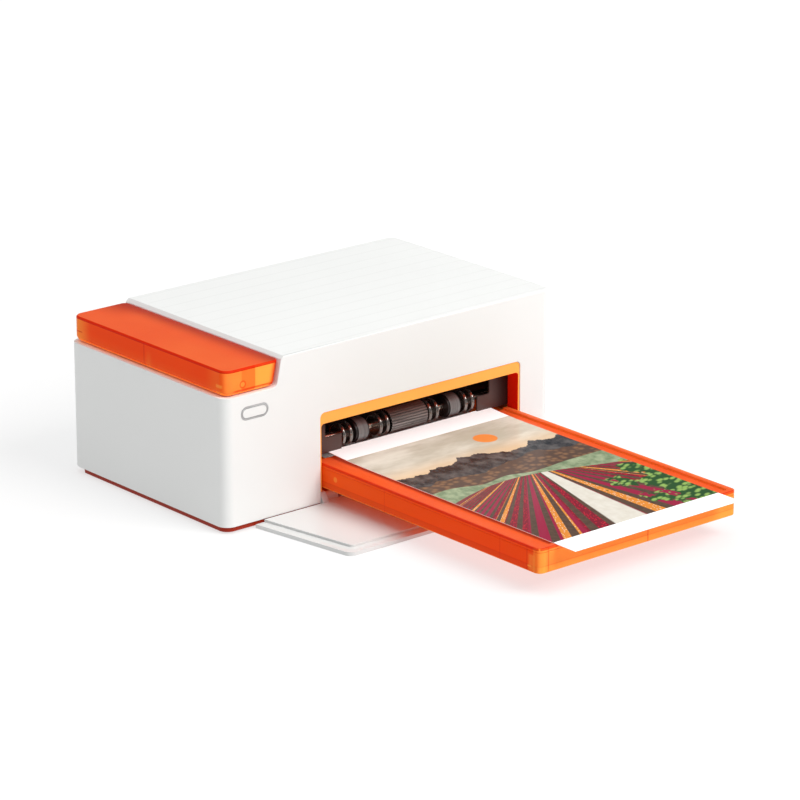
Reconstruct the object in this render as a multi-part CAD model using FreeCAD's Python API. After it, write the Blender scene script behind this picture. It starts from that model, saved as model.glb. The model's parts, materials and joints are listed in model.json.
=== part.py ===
# Compact photo printer with a grooved white shell, a translucent top cover, a paper cassette
# that stands out of the front opening with a print on it, and a flap folded down under it.
# Millimetres. While a piece is made, X runs to the right from the middle of the housing,
# Y runs backwards from its front face, and Z runs up from the table. On export everything
# moves along Y, so that the origin lies under the middle of the whole printer.

import FreeCAD, Part
import math
import os

V = FreeCAD.Vector

# Housing
side_bay_w = 55.8
right_side_w = 19.4
rear_room = 23.0
shell_h = 75.8
shell_wall = 2.2
shell_roof = 2.4
body_corner_r = 5.5
roof_edge_r = 0.8
groove_count = 12
groove_first = 3.3
groove_w = 1.3
groove_deep = 0.4

# Base and feet
foot_show = 0.8
base_show = 2.2
base_inset = 0.8
foot_r = 6.0
foot_t = 1.6
foot_from_edge = 14.0

# Notch for the top cover
notch_deep = 14.1
notch_w = 33.5
notch_slant = 3.0
notch_foot_r = 3.0
notch_chamfer = 1.6
bay_in = (7.0, 27.0)
bay_front = 32.0
bay_back = 26.0

# Top cover
cover_sunk = 1.5
cover_inset = 0.8
cover_side_inset = 1.5
cover_gap = 0.4
cover_rim_gap = 0.25
cover_wall = 1.6
cover_skin = 1.5
cover_edge = 0.6
cover_rib_t = 1.2
cover_cross_y = 51.6
cover_long_in = 9.4
cover_long_l = 12.0
cover_boss_in = 11.8
cover_boss_up = 4.9
cover_boss_r = 1.9
cover_boss_l = 5.0
cover_axis_back = 2.7
cover_axis_up = 2.3
cover_barrel_r = 1.9
cover_ear_r = 1.6
cover_ear_w = 3.0
cover_ear_in = (10.5, 23.5)
cover_pin_r = 0.8
cover_pin_l = 9.0

# Front opening, with its frame and the dark panel behind
open_side = 11.4
open_h = 43.4
open_corner_r = 2.5
frame_t = 0.9
frame_lintel = 5.5
frame_sunk = 0.5
frame_back = 8.0
frame_foot_z = 8.4
frame_lip = 2.5
frame_lip_t = 1.2
panel_t = 1.0
panel_top = 56.0
panel_window_z = (30.6, 45.0)
panel_side_w = (9.3, 12.4)
panel_low_side_w = (19.2, 20.0)

# Paper, cassette and print
sheet_w = 100.0
sheet_l = 169.5
sheet_t = 0.25
cassette_gap = 1.3
cassette_foot = 7.2
cassette_h = 11.8
cassette_tail = 3.9
stack_in = 32.4
ramp_l = 14.0
cassette_corner_r = 3.0
cassette_wall = 1.8
cassette_floor = 2.2
lid_t = 1.0
lid_rail_h = 1.0
lid_rail_w = 3.0
lid_end_y = 1.5
lid_rib_count = 4
lid_rib_w = 1.2
nose_gap = 11.0
nose_rib_t = 1.2
guide_t = 1.5
side_play = 0.5
tray_rib_shares = (0.25, 0.5, 0.75)
stack_t = 3.0
lift_t = 0.8
lift_short = 1.5
lift_up = 0.9
lift_pin_r = 0.35
leaf_t = 0.35
leaf_l = 26.0
leaf_w = 13.0
print_over = 12.0
print_gap = 0.1

# Flap folded down under the cassette
flap_from_side = 17.0
flap_taper = 9.0
flap_l = 56.9
flap_t = 1.9
flap_corner_r = 4.0
flap_panel_inset = 5.0
flap_panel_up = 1.2
flap_from_face = 0.5
flap_axis_y = 3.6
flap_axis_z = 4.4
flap_barrel_r = 2.0
flap_lug_w = 3.5
flap_lug_z = 7.6
flap_ear_w = 3.0
flap_ear_from_side = 13.0
flap_pin_r = 1.0
flap_pin_l = 11.0
sill_y = 7.4

# Button
button_in = 17.7
button_drop = 9.0
button_w = 15.7
button_tall = 6.4
button_ring_w = 0.9
button_flange = 1.0
button_flange_t = 0.8
button_stem_r = 1.5
button_travel = 1.2
board_t = 1.2
board_y = 10.0
board_w = 24.0
board_tall = 13.0
switch_side = 6.0
switch_t = 3.0
plunger_r = 1.2
plunger_l = 0.8

# Chassis
plate_t = 1.2
plate_gap = 0.8
plate_end = 8.0
plate_top = 60.0
plate_shoulder_z = 47.0
plate_front_top_y = 22.0
plate_flange_w = 8.0
plate_flange_end = 10.0
beam_from_platen = (-4.0, 10.0)
beam_t = 1.2
screw_r = 1.2
screw_head_r = 2.2
screw_head_t = 1.4

# Rollers and their shafts
roller_y = 14.6
roller_r = 6.0
roller_sink = 0.2
roller_l = 22.0
flute_count = 20
flute_deep = 0.6
flute_shares = (-0.32, 0.18, 0.32, 0.54)
wheel_r = 5.7
wheel_l = 6.0
wheel_off = 28.3
wheel_hub_r = 5.2
wheel_hub_l = 1.0
ring_t = 2.0
ring_pair = 4.3
ring_inner = 15.2
ring_edge = 12.5
ring_hub_r = 3.2
shaft_r = 2.0
bush_r = 3.2
bush_flange_r = 4.2
bush_flange_t = 0.8
path_z = 33.0
grip_from_roller = 31.4
grip_r = 4.0
grip_shaft_r = 2.0
pinch_r = 3.0
pinch_shaft_r = 1.5
platen_from_grip = 18.0
platen_r = 8.0
platen_shaft_r = 2.5
roller_from_plate = 9.5
paper_gap = 0.3

# Gears, motor and its bracket
module = 0.6
feed_teeth = 20
idler_teeth = 42
grip_teeth = 14
motor_teeth = 12
tooth_play = 0.12
tooth_tip_share = 0.95
tooth_root_share = 1.25
pressure_deg = 20.0
gear_w = 4.0
gear_from_plate = 1.0
gear_hub_r = 2.6
tooth_foot = 0.01
post_r = 1.5
motor_lean_deg = 40.0
motor_r = 12.0
motor_l = 12.0
motor_boss_r = 4.0
motor_shaft_r = 1.0
bracket_t = 1.2
bracket_side = 34.0
bracket_h = 27.2
bracket_leg_r = 1.8

# Print head
head_axis_from_platen = 22.0
head_axis_up = 5.0
head_axis_r = 2.0
head_half_l = 6.0
head_over = 1.3
head_base_t = 3.0
head_fin_count = 5
head_fin_t = 1.2
head_fin_h = 8.5
head_element_half_l = 3.0
head_element_t = 0.6
head_arm_t = 2.0
head_arm_from_plate = 2.0
head_arm_h = 5.0
head_arm_r = 4.0
head_spring_t = 0.4
head_spring_w = 8.0

# Ribbon cartridge
spool_z = 51.0
supply_from_platen = 31.0
takeup_from_roller = 21.4
supply_r = 9.0
takeup_r = 6.0
spool_core_r = 4.0
spool_end_r = 3.0
spool_flange_r = 9.6
spool_flange_t = 1.0
case_room = 0.8
case_wall = 1.0
case_end_t = 1.8
case_from_plate = 5.8
case_bar_h = 10.0
ribbon_t = 0.1
ribbon_over = 0.35
ribbon_in = 4.0
rail_t = 1.2
rail_from_platen = (10.0, 18.0)

# Guides
guide_plate_t = 1.2
back_guide_gap = 1.0
back_guide_z = (28.0, 46.0)
guide_end_gap = 5.0
lower_guide_back = 9.4
lower_guide_z = 24.6
rear_guide_start = 10.0
rear_guide_end = 5.0
guide_drop = 1.0

# Rear panel and sockets
window_from_side = 7.0
window_low = 8.0
window_drop = 6.7
panel_play = 0.2
rear_flange = 3.0
rear_flange_t = 1.2
slot_side = 3.0
slot_from_path = (-2.6, 4.4)
vent_count = 8
vent_w = 2.0
vent_pitch = 3.6
vent_l = 21.0
louvre_drop = 11.8
louvre_l = 11.6
fan_in = 27.0
fan_drop = 11.5
fan_side = 30.0
fan_t = 8.0
fan_bore_r = 13.8
fan_hub_r = 6.0
fan_tip_r = 13.2
blade_count = 7
blade_chord = 5.0
blade_t = 0.9
blade_twist_deg = 40.0
strut_w = 1.6
strut_count = 3
board_from_side = 13.0
board_from_flange = 2.8
board_l = 51.0
board_back = 5.0
main_board_z = 8.0
main_board_t = 1.6
post_board_r = 2.2
chip_side = 10.8
chip_t = 1.2
header_w = 5.4
header_l = 21.6
header_h = 4.8
can_r = 3.6
can_h = 10.8
jack_in = 19.0
jack_side = 8.8
jack_l = 13.0
jack_bore_r = 2.75
jack_pin_r = 1.0
jack_mouth_r = 4.0
usb_in = 33.0
usb_w = 9.0
usb_h = 3.2
usb_l = 7.5
usb_wall = 0.4
usb_round_share = 0.45
usb_tongue_share = 0.75

# Screws through the base into the shell
shell_boss_r = 3.4
shell_boss_h = 26.0
shell_screw_l = 9.0
shell_screw_head_t = 1.2
shell_screw_head_r = 2.6
boss_front = 20.0
boss_back = 18.0

# Clearances
running = 0.06
small_gap = 0.3
overrun = 1.0

# Worked out from the sizes above
open_w = sheet_w + 2 * open_side
body_w = side_bay_w + open_w + right_side_w
grip_y = roller_y + grip_from_roller
takeup_y = roller_y + takeup_from_roller
platen_y = grip_y + platen_from_grip
supply_y = platen_y + supply_from_platen
body_d = supply_y + rear_room
shell_z = foot_show + base_show
shell_top = shell_z + shell_h
left = -body_w / 2
right = body_w / 2
groove_pitch = (body_d - 2 * groove_first) / (groove_count - 1)
rim_z = shell_top - notch_deep
notch_top_x = left + notch_w
notch_foot_x = notch_top_x - notch_slant
bay_x = (left + bay_in[0], left + bay_in[1])
bay_y = (bay_front, body_d - bay_back)
cover_long_x = left + cover_long_in
cover_boss_x = left + cover_boss_in
cover_ear_x = (left + cover_ear_in[0], left + cover_ear_in[1])
button_x = left + button_in
button_z = rim_z - button_drop
boss_places = [(side, y) for side in (-1, 1) for y in (boss_front, body_d - boss_back)]
open_x = (left + side_bay_w, right - right_side_w)
open_top = shell_z + open_h
path_x = sum(open_x) / 2
paper_x = (path_x - sheet_w / 2, path_x + sheet_w / 2)
cassette_out = nose_gap + small_gap + sheet_l - stack_in
ramp_y = (stack_in - small_gap, stack_in - small_gap + ramp_l)
cassette_in = ramp_y[1] + cassette_tail
lift_l = sheet_l - lift_short
cassette_x = (open_x[0] + cassette_gap, open_x[1] - cassette_gap)
cassette_z = shell_z + cassette_foot
cassette_top = cassette_z + cassette_h
lid_z = cassette_top - lid_rail_h - lid_t
floor_z = cassette_z + cassette_floor
print_z = cassette_top + print_gap
print_y = -cassette_out - print_over
roller_z = print_z + roller_r - roller_sink
front_y = (-print_y - body_d) / 2
plate_in = (open_x[0] - plate_gap, open_x[1] + plate_gap)
plate_out = (plate_in[0] - plate_t, plate_in[1] + plate_t)
plate_back = body_d - plate_end
plate_flange_y = (platen_y, body_d - plate_flange_end)
beam_y = (platen_y + beam_from_platen[0], platen_y + beam_from_platen[1])
panel_y = (frame_back + small_gap / 2, frame_back + small_gap / 2 + panel_t)
plate_y = shell_wall + frame_lip_t + small_gap
gear_x = (plate_out[0] - gear_from_plate - gear_w, plate_out[0] - gear_from_plate)
roller_x = (plate_in[0] + roller_from_plate, plate_in[1] - roller_from_plate)
case_x = (plate_in[0] + case_from_plate, plate_in[1] - case_from_plate)
case_in = (case_x[0] + case_end_t, case_x[1] - case_end_t)
grip_z = path_z - grip_r
pinch_z = path_z + paper_gap + pinch_r
platen_z = path_z - platen_r
head_y = (platen_y - head_half_l, platen_y + head_half_l)
head_element_y = (platen_y - head_element_half_l, platen_y + head_element_half_l)
head_base_z = path_z + head_over
head_axis_y = platen_y + head_axis_from_platen
head_axis_z = path_z + head_axis_up
ribbon_z = path_z + ribbon_over
case_bar_z = (spool_z - case_bar_h / 2, spool_z + case_bar_h / 2)
rail_y = (platen_y + rail_from_platen[0], platen_y + rail_from_platen[1])
back_guide_y = roller_y + roller_r + back_guide_gap
guide_end_y = grip_y - guide_end_gap
lower_guide_y = roller_y + lower_guide_back
rear_guide_y = (platen_y + rear_guide_start, body_d - rear_guide_end)
window_x = right - window_from_side
ring_offs = (ring_inner, sheet_w / 2 - ring_edge)
case_r = spool_flange_r + case_room + case_wall
window_z = (window_low, rim_z - window_drop)
slot_w = sheet_w + 2 * slot_side
slot_z = (path_z + slot_from_path[0], path_z + slot_from_path[1])
louvre_z = window_z[1] - louvre_drop
fan_x = left + fan_in
fan_z = window_z[1] - fan_drop
main_board_x = (left + board_from_side, plate_out[0] - plate_flange_w - board_from_flange)
main_board_y = (body_d - board_back - board_l, body_d - board_back)
jack_x = left + jack_in
usb_x = left + usb_in
cover_axis_y = body_d - cover_axis_back
cover_axis_z = rim_z + cover_axis_up
flap_w = body_w - 2 * flap_from_side
flap_x = (open_x[0] + small_gap, open_x[1] - small_gap)


def span_box(x, y, z):
    """Box between a low and a high limit along each axis."""
    return Part.makeBox(x[1] - x[0], y[1] - y[0], z[1] - z[0], V(x[0], y[0], z[0]))


def rod_x(x, y, z, r):
    """Cylinder along X."""
    return Part.makeCylinder(r, x[1] - x[0], V(x[0], y, z), V(1, 0, 0))


def rod_y(y, x, z, r):
    """Cylinder along Y."""
    return Part.makeCylinder(r, y[1] - y[0], V(x, y[0], z), V(0, 1, 0))


def rod_z(z, x, y, r):
    """Cylinder along Z."""
    return Part.makeCylinder(r, z[1] - z[0], V(x, y, z[0]), V(0, 0, 1))


def closed(points):
    """Flat face inside a closed outline."""
    return Part.Face(Part.makePolygon(points + [points[0]]))


def along_x(x, outline):
    """Outline of (y, z) points carried from one X limit to the other."""
    return closed([V(x[0], y, z) for y, z in outline]).extrude(V(x[1] - x[0], 0, 0))


def along_y(y, outline):
    """Outline of (x, z) points carried from one Y limit to the other."""
    return closed([V(x, y[0], z) for x, z in outline]).extrude(V(0, y[1] - y[0], 0))


def runs(edge, direction):
    """True if a straight edge runs along a direction."""
    step = edge.Vertexes[-1].Point - edge.Vertexes[0].Point
    return step.Length > 0 and abs(step.normalize().dot(direction)) > math.cos(math.radians(1))


def rounded(solid, r, direction, wanted=None):
    """Round the straight edges along a direction, or those of them that wanted picks."""
    edges = [e for e in solid.Edges if runs(e, direction) and (wanted is None or wanted(e.CenterOfMass))]
    return solid.makeFillet(r, edges)


def upright_box(x, y, z, r):
    """Box with its upright edges rounded."""
    return rounded(span_box(x, y, z), r, V(0, 0, 1))


def grown(limits, by):
    """A pair of limits moved apart."""
    return (limits[0] - by, limits[1] + by)


def around(middle, length):
    """The limits of a length about its middle."""
    return (middle - length / 2, middle + length / 2)


def joined(pieces):
    """One solid from pieces that overlap."""
    whole = pieces[0].multiFuse(pieces[1:]) if len(pieces) > 1 else pieces[0]
    return whole.removeSplitter()


def group(pieces):
    """Separate solids of one node."""
    return Part.makeCompound(pieces)


def oval(x, z, w, h, y):
    """Upright oval plate with round ends, between two Y limits."""
    middle = around(x, w - h)
    block = span_box(middle, y, around(z, h))
    return joined([block, rod_y(y, middle[0], z, h / 2), rod_y(y, middle[1], z, h / 2)])


def notch_x(z):
    """X of the slanted notch wall at a height."""
    share = (z - rim_z) / (shell_top - rim_z)
    return notch_foot_x + share * (notch_top_x - notch_foot_x)


def notch(grow):
    """The corner that the top cover fills, grown into the shell by a wall."""
    low = rim_z - grow
    high = shell_top + overrun
    outline = [(left - overrun, low), (notch_x(low) + grow, low), (notch_x(high) + grow, high)]
    block = along_y((-overrun, body_d + overrun), outline + [(left - overrun, high)])
    return rounded(block, notch_foot_r, V(0, 1, 0), lambda p: p.z < low + overrun and p.x > left)


def cover_ears():
    """Two hinge ears that stand on the rear of the deck, bored for their pins."""
    ears = []
    for x in cover_ear_x:
        span = around(x, cover_ear_w)
        foot = span_box(span, around(cover_axis_y, 2 * cover_ear_r), (rim_z - overrun, cover_axis_z))
        ears.append(foot.fuse(rod_x(span, cover_axis_y, cover_axis_z, cover_ear_r)))
    return ears


def boss_x(side):
    """X of the screw bosses beside the left or right wall."""
    return side * (right - shell_wall - shell_boss_r + small_gap)


def outer_shell():
    """White shell: grooved roof, notch with its deck, front opening, button hole and rear window."""
    block = upright_box((left, right), (0, body_d), (shell_z, shell_top), body_corner_r)
    rim = [e for e in block.Edges if e.CenterOfMass.z > shell_top - roof_edge_r]
    outer = block.makeFillet(roof_edge_r, rim).cut(notch(0))
    inner_z = (shell_z - overrun, shell_top - shell_roof)
    inner = upright_box(grown((left, right), -shell_wall), grown((0, body_d), -shell_wall), inner_z,
                        body_corner_r - shell_wall)
    shell = outer.cut(inner.cut(notch(shell_wall)))
    across = (notch_top_x + notch_chamfer + small_gap, right + overrun)
    grooves = []
    for i in range(groove_count):
        y = groove_first + i * groove_pitch
        grooves.append(along_x(across, [(y - groove_w / 2, shell_top), (y, shell_top - groove_deep),
                                        (y + groove_w / 2, shell_top), (y, shell_top + groove_deep)]))
    low = shell_top - notch_chamfer
    high = shell_top + small_gap
    edge = [(notch_top_x - notch_chamfer, high), (notch_top_x - notch_chamfer, low), (notch_x(low), low),
            (notch_top_x + notch_chamfer, high)]
    chamfer = along_y((-overrun, body_d + overrun), edge)
    mouth = rounded(span_box(open_x, (-overrun, shell_wall + overrun), (shell_z - overrun, open_top)),
                    open_corner_r, V(0, 1, 0), lambda p: p.z > shell_z)
    button_hole = oval(button_x, button_z, button_w, button_tall, (-overrun, shell_wall + overrun))
    window = span_box((-window_x, window_x), (body_d - shell_wall - overrun, body_d + overrun), window_z)
    bay = span_box(bay_x, bay_y, (rim_z - shell_wall - overrun, rim_z + overrun))
    adds = cover_ears()
    for side, y in boss_places:
        adds.append(rod_z((shell_z, shell_z + shell_boss_h), boss_x(side), y, shell_boss_r))
    for x, z in board_posts():
        adds.append(rod_y((shell_wall - small_gap, board_y), x, z, screw_r + shell_wall / 2))
    shell = joined([shell] + adds)
    holes = [mouth, button_hole, window, bay, chamfer]
    for side, y in boss_places:
        holes.append(rod_z((shell_z - overrun, shell_z + shell_screw_l), boss_x(side), y, screw_r))
    holes.append(rod_x(around(sum(cover_ear_x) / 2, body_w / 4), cover_axis_y, cover_axis_z, cover_pin_r))
    return shell.cut(Part.makeCompound(holes)).cut(Part.makeCompound(grooves))


def ribbon_cover():
    """Translucent lid with inner ribs, slotted at the rear for the hinge ears."""
    z = (rim_z + cover_rim_gap, shell_top - cover_sunk)
    x0 = left + cover_side_inset
    y = (cover_inset, body_d - cover_inset)
    slant = [(notch_x(h) - cover_gap, h) for h in z]
    block = along_y(y, [(x0, z[0]), slant[0], slant[1], (x0, z[1])])
    corner_r = body_corner_r - cover_inset
    block = rounded(block, notch_foot_r, V(0, 1, 0), lambda p: p.z < z[0] + overrun and p.x > x0 + overrun)
    block = rounded(block, corner_r, V(0, 0, 1), lambda p: p.x < x0 + overrun)
    slope = V(slant[1][0] - slant[0][0], 0, z[1] - z[0]).normalize()
    block = rounded(block, notch_foot_r, slope, lambda p: p.y > cover_axis_y and p.x > x0 + corner_r)
    top = [e for e in block.Edges if e.CenterOfMass.z > z[1] - small_gap]
    outer = block.makeChamfer(cover_edge, top)
    inset = [(notch_x(h) - cover_gap - cover_wall, h) for h in (z[0] - overrun, z[1] - cover_skin)]
    inner = along_y(grown(y, -cover_wall), [(x0 + cover_wall, z[0] - overrun), inset[0], inset[1],
                                            (x0 + cover_wall, z[1] - cover_skin)])
    inner = rounded(inner, corner_r - cover_wall, V(0, 0, 1), lambda p: p.x < x0 + cover_wall + overrun)
    lid = outer.cut(inner)
    ribs_z = (z[0] + cover_rib_t, z[1] - cover_skin / 2)
    cross = span_box((x0 + cover_wall / 2, slant[1][0]), around(cover_cross_y, cover_rib_t), ribs_z)
    second_y = around(body_d - cover_cross_y / 2, cover_rib_t)
    second = span_box((x0 + cover_wall / 2, slant[1][0]), second_y, ribs_z)
    length_y = (y[0] + cover_wall / 2, y[0] + cover_long_l)
    length = span_box(around(cover_long_x, cover_rib_t), length_y, ribs_z)
    boss_y = (y[0] + cover_wall / 2, y[0] + cover_boss_l)
    boss = rod_y(boss_y, cover_boss_x, rim_z + cover_boss_up, cover_boss_r)
    barrel_x = (x0 + corner_r, notch_foot_x - cover_gap - notch_foot_r)
    barrel = rod_x(barrel_x, cover_axis_y, cover_axis_z, cover_barrel_r)
    lid = joined([lid, cross.common(outer), second.common(outer), length.common(outer), boss, barrel])
    below = span_box((left, right), (cover_axis_y, body_d), (rim_z, cover_axis_z))
    cuts = [below.cut(rod_x((left, right), cover_axis_y, cover_axis_z, cover_barrel_r))]
    ear_room = cover_barrel_r + small_gap
    for x in cover_ear_x:
        span = around(x, cover_ear_w + 2 * small_gap)
        cuts.append(span_box(span, (cover_axis_y - ear_room, body_d), (rim_z, cover_axis_z + ear_room)))
        pin_span = around(x, cover_pin_l + 2 * small_gap)
        cuts.append(rod_x(pin_span, cover_axis_y, cover_axis_z, cover_pin_r + running))
    return lid.cut(Part.makeCompound(cuts))


def cover_hinge_pins():
    """Two steel pins through the hinge ears."""
    pins = [rod_x(around(x, cover_pin_l), cover_axis_y, cover_axis_z, cover_pin_r) for x in cover_ear_x]
    return group(pins)


def flap_ear_places():
    """Middles of the two ears on the base that carry the flap's pins."""
    return (flap_x[0] + flap_ear_from_side, flap_x[1] - flap_ear_from_side)


def foot_places():
    """Middles of the four feet."""
    xs = (left + foot_from_edge, right - foot_from_edge)
    ys = (foot_from_edge, body_d - foot_from_edge)
    return [(x, y) for x in xs for y in ys]


def flange_x(side):
    """X limits of the foot flange of the left or right side plate."""
    if side < 0:
        return (plate_out[0] - plate_flange_w, plate_out[0])
    return (plate_out[1], plate_out[1] + plate_flange_w)


def flange_screws():
    """Places of the four screws that hold the side plates down."""
    places = []
    for side in (-1, 1):
        x = sum(flange_x(side)) / 2
        places += [(x, plate_flange_y[0] + plate_flange_w / 2), (x, plate_flange_y[1] - plate_flange_w / 2)]
    return places


def board_corners():
    """Places of the main board's four posts."""
    inset = 2 * post_board_r
    return [(x, y) for x in grown(main_board_x, -inset) for y in grown(main_board_y, -inset)]


def base_plate():
    """Orange base: floor, cassette rails, stop, ears for the flap and posts for the main board."""
    z = (foot_show, shell_z)
    floor = upright_box(grown((left, right), -base_inset), (base_inset, body_d - base_inset), z,
                        body_corner_r - base_inset)
    floor = floor.cut(span_box(open_x, (-overrun, sill_y), grown(z, overrun)))
    rail_w = cassette_x[0] + cassette_wall + guide_t * 2 - open_x[0]
    rails_z = (z[0], cassette_z - small_gap)
    rails_y = (frame_back + small_gap, cassette_in)
    adds = [span_box((open_x[0], open_x[0] + rail_w), rails_y, rails_z),
            span_box((open_x[1] - rail_w, open_x[1]), rails_y, rails_z)]
    stop_y = (cassette_in + small_gap, cassette_in + small_gap + cassette_wall)
    adds.append(span_box(around(path_x, sheet_w / 2), stop_y, (z[0], cassette_z + cassette_h / 2)))
    for x in flap_ear_places():
        span = around(x, flap_ear_w)
        adds.append(span_box(span, (flap_axis_y, sill_y + overrun), (z[0], flap_axis_z)))
        adds.append(rod_x(span, flap_axis_y, flap_axis_z, flap_barrel_r))
    for x, y in board_corners():
        adds.append(rod_z((z[0], main_board_z), x, y, post_board_r))
    base = joined([floor] + adds)
    cuts = [rod_z((-overrun, foot_t), x, y, foot_r) for x, y in foot_places()]
    for side, y in boss_places:
        cuts.append(rod_z((-overrun, shell_z + overrun), boss_x(side), y, screw_r))
        cuts.append(rod_z((-overrun, foot_show + shell_screw_head_t), boss_x(side), y, shell_screw_head_r))
    for x, y in flange_screws():
        cuts.append(rod_z((foot_show + base_show / 2, shell_z + overrun), x, y, screw_r))
    for x in flap_ear_places():
        cuts.append(rod_x(around(x, flap_pin_l), flap_axis_y, flap_axis_z, flap_pin_r))
    return base.cut(Part.makeCompound(cuts))


def rubber_feet():
    """Four round rubber feet in shallow pockets."""
    return group([rod_z((0, foot_t), x, y, foot_r) for x, y in foot_places()])


def shell_screws():
    """Four screws through the base into the shell's bosses."""
    screws = []
    for side, y in boss_places:
        head = rod_z((foot_show, foot_show + shell_screw_head_t), boss_x(side), y, shell_screw_head_r)
        screws.append(head.fuse(rod_z((foot_show, shell_z + shell_screw_l), boss_x(side), y, screw_r)))
    return group([s.removeSplitter() for s in screws])


def chassis_screws():
    """Four screws through the side plates' flanges into the base."""
    screws = []
    for x, y in flange_screws():
        top = shell_z + plate_t
        head = rod_z((top, top + screw_head_t), x, y, screw_head_r)
        screws.append(head.fuse(rod_z((foot_show + base_show / 2, top + screw_head_t), x, y, screw_r)))
    return group([s.removeSplitter() for s in screws])


def opening_frame():
    """Orange frame of the front opening: lintel, two cheeks, and a lip behind the shell's wall."""
    play = running
    outer = span_box(grown(open_x, -play), (frame_sunk, frame_back), (frame_foot_z, open_top - play))
    outer = rounded(outer, open_corner_r, V(0, 1, 0), lambda p: p.z > cassette_top)
    lip_y = (shell_wall, shell_wall + frame_lip_t)
    lip = span_box(grown(open_x, frame_lip), lip_y, (frame_foot_z, open_top + frame_lip))
    inside_x = grown(open_x, -frame_t)
    inside_z = (frame_foot_z - overrun, open_top - frame_lintel)
    inside = span_box(inside_x, (-overrun, frame_back + overrun), inside_z)
    inside = rounded(inside, open_corner_r - frame_t, V(0, 1, 0), lambda p: p.z > cassette_top)
    return outer.fuse(lip).cut(inside).removeSplitter()


def feed_panel():
    """Dark panel behind the frame, cut away for the rollers and stepped at both ends."""
    low = print_z + sheet_t + 2 * paper_gap
    sheet = span_box(plate_in, panel_y, (low, panel_top))
    through = grown(panel_y, overrun)
    window_span = (open_x[0] + panel_side_w[0], open_x[1] - panel_side_w[1])
    window = span_box(window_span, through, panel_window_z)
    window = rounded(window, open_corner_r / 2, V(0, 1, 0))
    low_span = (open_x[0] + panel_low_side_w[0], open_x[1] - panel_low_side_w[1])
    low_cut = span_box(low_span, through, (low - overrun, sum(panel_window_z) / 2))
    return sheet.cut(window).cut(low_cut)


def side_outline():
    """Outline of a side plate in (y, z)."""
    return [(plate_y, shell_z), (plate_back, shell_z), (plate_back, plate_shoulder_z),
            (beam_y[1] + case_r, plate_top), (plate_front_top_y, plate_top), (plate_y, plate_shoulder_z)]


def side_plate(side):
    """Steel side plate with its foot flange, cartridge rail and bearing holes."""
    inner, outer = (plate_in[0], plate_out[0]) if side < 0 else (plate_in[1], plate_out[1])
    x = (min(inner, outer), max(inner, outer))
    plate = along_x(x, side_outline())
    flange = span_box(flange_x(side), plate_flange_y, (shell_z, shell_z + plate_t))
    reach = case_x[0] + case_end_t / 2 if side < 0 else case_x[1] - case_end_t / 2
    rail = span_box((min(reach, outer), max(reach, outer)), rail_y, (case_bar_z[0] - rail_t, case_bar_z[0]))
    plate = joined([plate, flange, rail])
    through = grown(x, overrun)
    cuts = [rod_x(through, roller_y, roller_z, bush_r), rod_x(through, platen_y, platen_z, bush_r)]
    cuts.append(rod_x(through, grip_y, grip_z, grip_shaft_r + running))
    cuts.append(rod_x(through, grip_y, pinch_z, pinch_shaft_r + running))
    cuts.append(rod_x(through, head_axis_y, head_axis_z, head_axis_r))
    for px, py in flange_screws():
        cuts.append(rod_z((shell_z - overrun, shell_z + plate_t + overrun), px, py, screw_r))
    if side < 0:
        cuts.append(rod_x(through, idler_place()[0], idler_place()[1], post_r))
    return plate.cut(Part.makeCompound(cuts))


def top_beam():
    """Steel channel that ties the side plates together above the head."""
    top = span_box(plate_in, beam_y, (plate_top - beam_t, plate_top))
    lips = [span_box(plate_in, (beam_y[0], beam_y[0] + beam_t), (plate_top - 3 * beam_t, plate_top)),
            span_box(plate_in, (beam_y[1] - beam_t, beam_y[1]), (plate_top - 3 * beam_t, plate_top))]
    return joined([top] + lips)


def bush(x, y, z, bore_r, outward):
    """Flanged brass bush in a side plate."""
    body = rod_x(x, y, z, bush_r)
    edge = x[0] if outward < 0 else x[1]
    rim = (edge - bush_flange_t, edge) if outward < 0 else (edge, edge + bush_flange_t)
    whole = body.fuse(rod_x(rim, y, z, bush_flange_r))
    return whole.cut(rod_x(grown(x, 2 * overrun), y, z, bore_r)).removeSplitter()


def shaft_bushes():
    """Bushes of the feed shaft and of the platen shaft."""
    bushes = []
    for y, z, r in ((roller_y, roller_z, shaft_r), (platen_y, platen_z, platen_shaft_r)):
        for side in (0, 1):
            x = (min(plate_in[side], plate_out[side]), max(plate_in[side], plate_out[side]))
            bushes.append(bush(x, y, z, r + running, -1 if side == 0 else 1))
    return group(bushes)


def feed_shaft():
    """Steel shaft of the feed rollers, with its gear end to the left."""
    return rod_x((gear_x[0] - overrun, plate_out[1] + 2 * bush_flange_t), roller_y, roller_z, shaft_r)


def pickup_roller():
    """Fluted rubber roller in the middle of the shaft."""
    points = []
    step = 2 * math.pi / flute_count
    for i in range(flute_count):
        for share, deep in zip(flute_shares, (0, 0, flute_deep, flute_deep)):
            angle = (i + share) * step
            r = roller_r - deep
            points.append((roller_y + r * math.cos(angle), roller_z + r * math.sin(angle)))
    body = along_x(around(path_x, roller_l), points)
    return body.cut(rod_x(around(path_x, roller_l + overrun), roller_y, roller_z, shaft_r))


def feed_wheels():
    """Two banded wheels beside the pick-up roller."""
    wheels = []
    for side in (-1, 1):
        x = path_x + side * wheel_off
        tread = rod_x(around(x, wheel_l), roller_y, roller_z, wheel_r)
        hub = rod_x(around(x, wheel_l + 2 * wheel_hub_l), roller_y, roller_z, wheel_hub_r)
        hole = rod_x(around(x, 2 * wheel_l), roller_y, roller_z, shaft_r)
        wheels.append(tread.fuse(hub).cut(hole).removeSplitter())
    return group(wheels)


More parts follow.
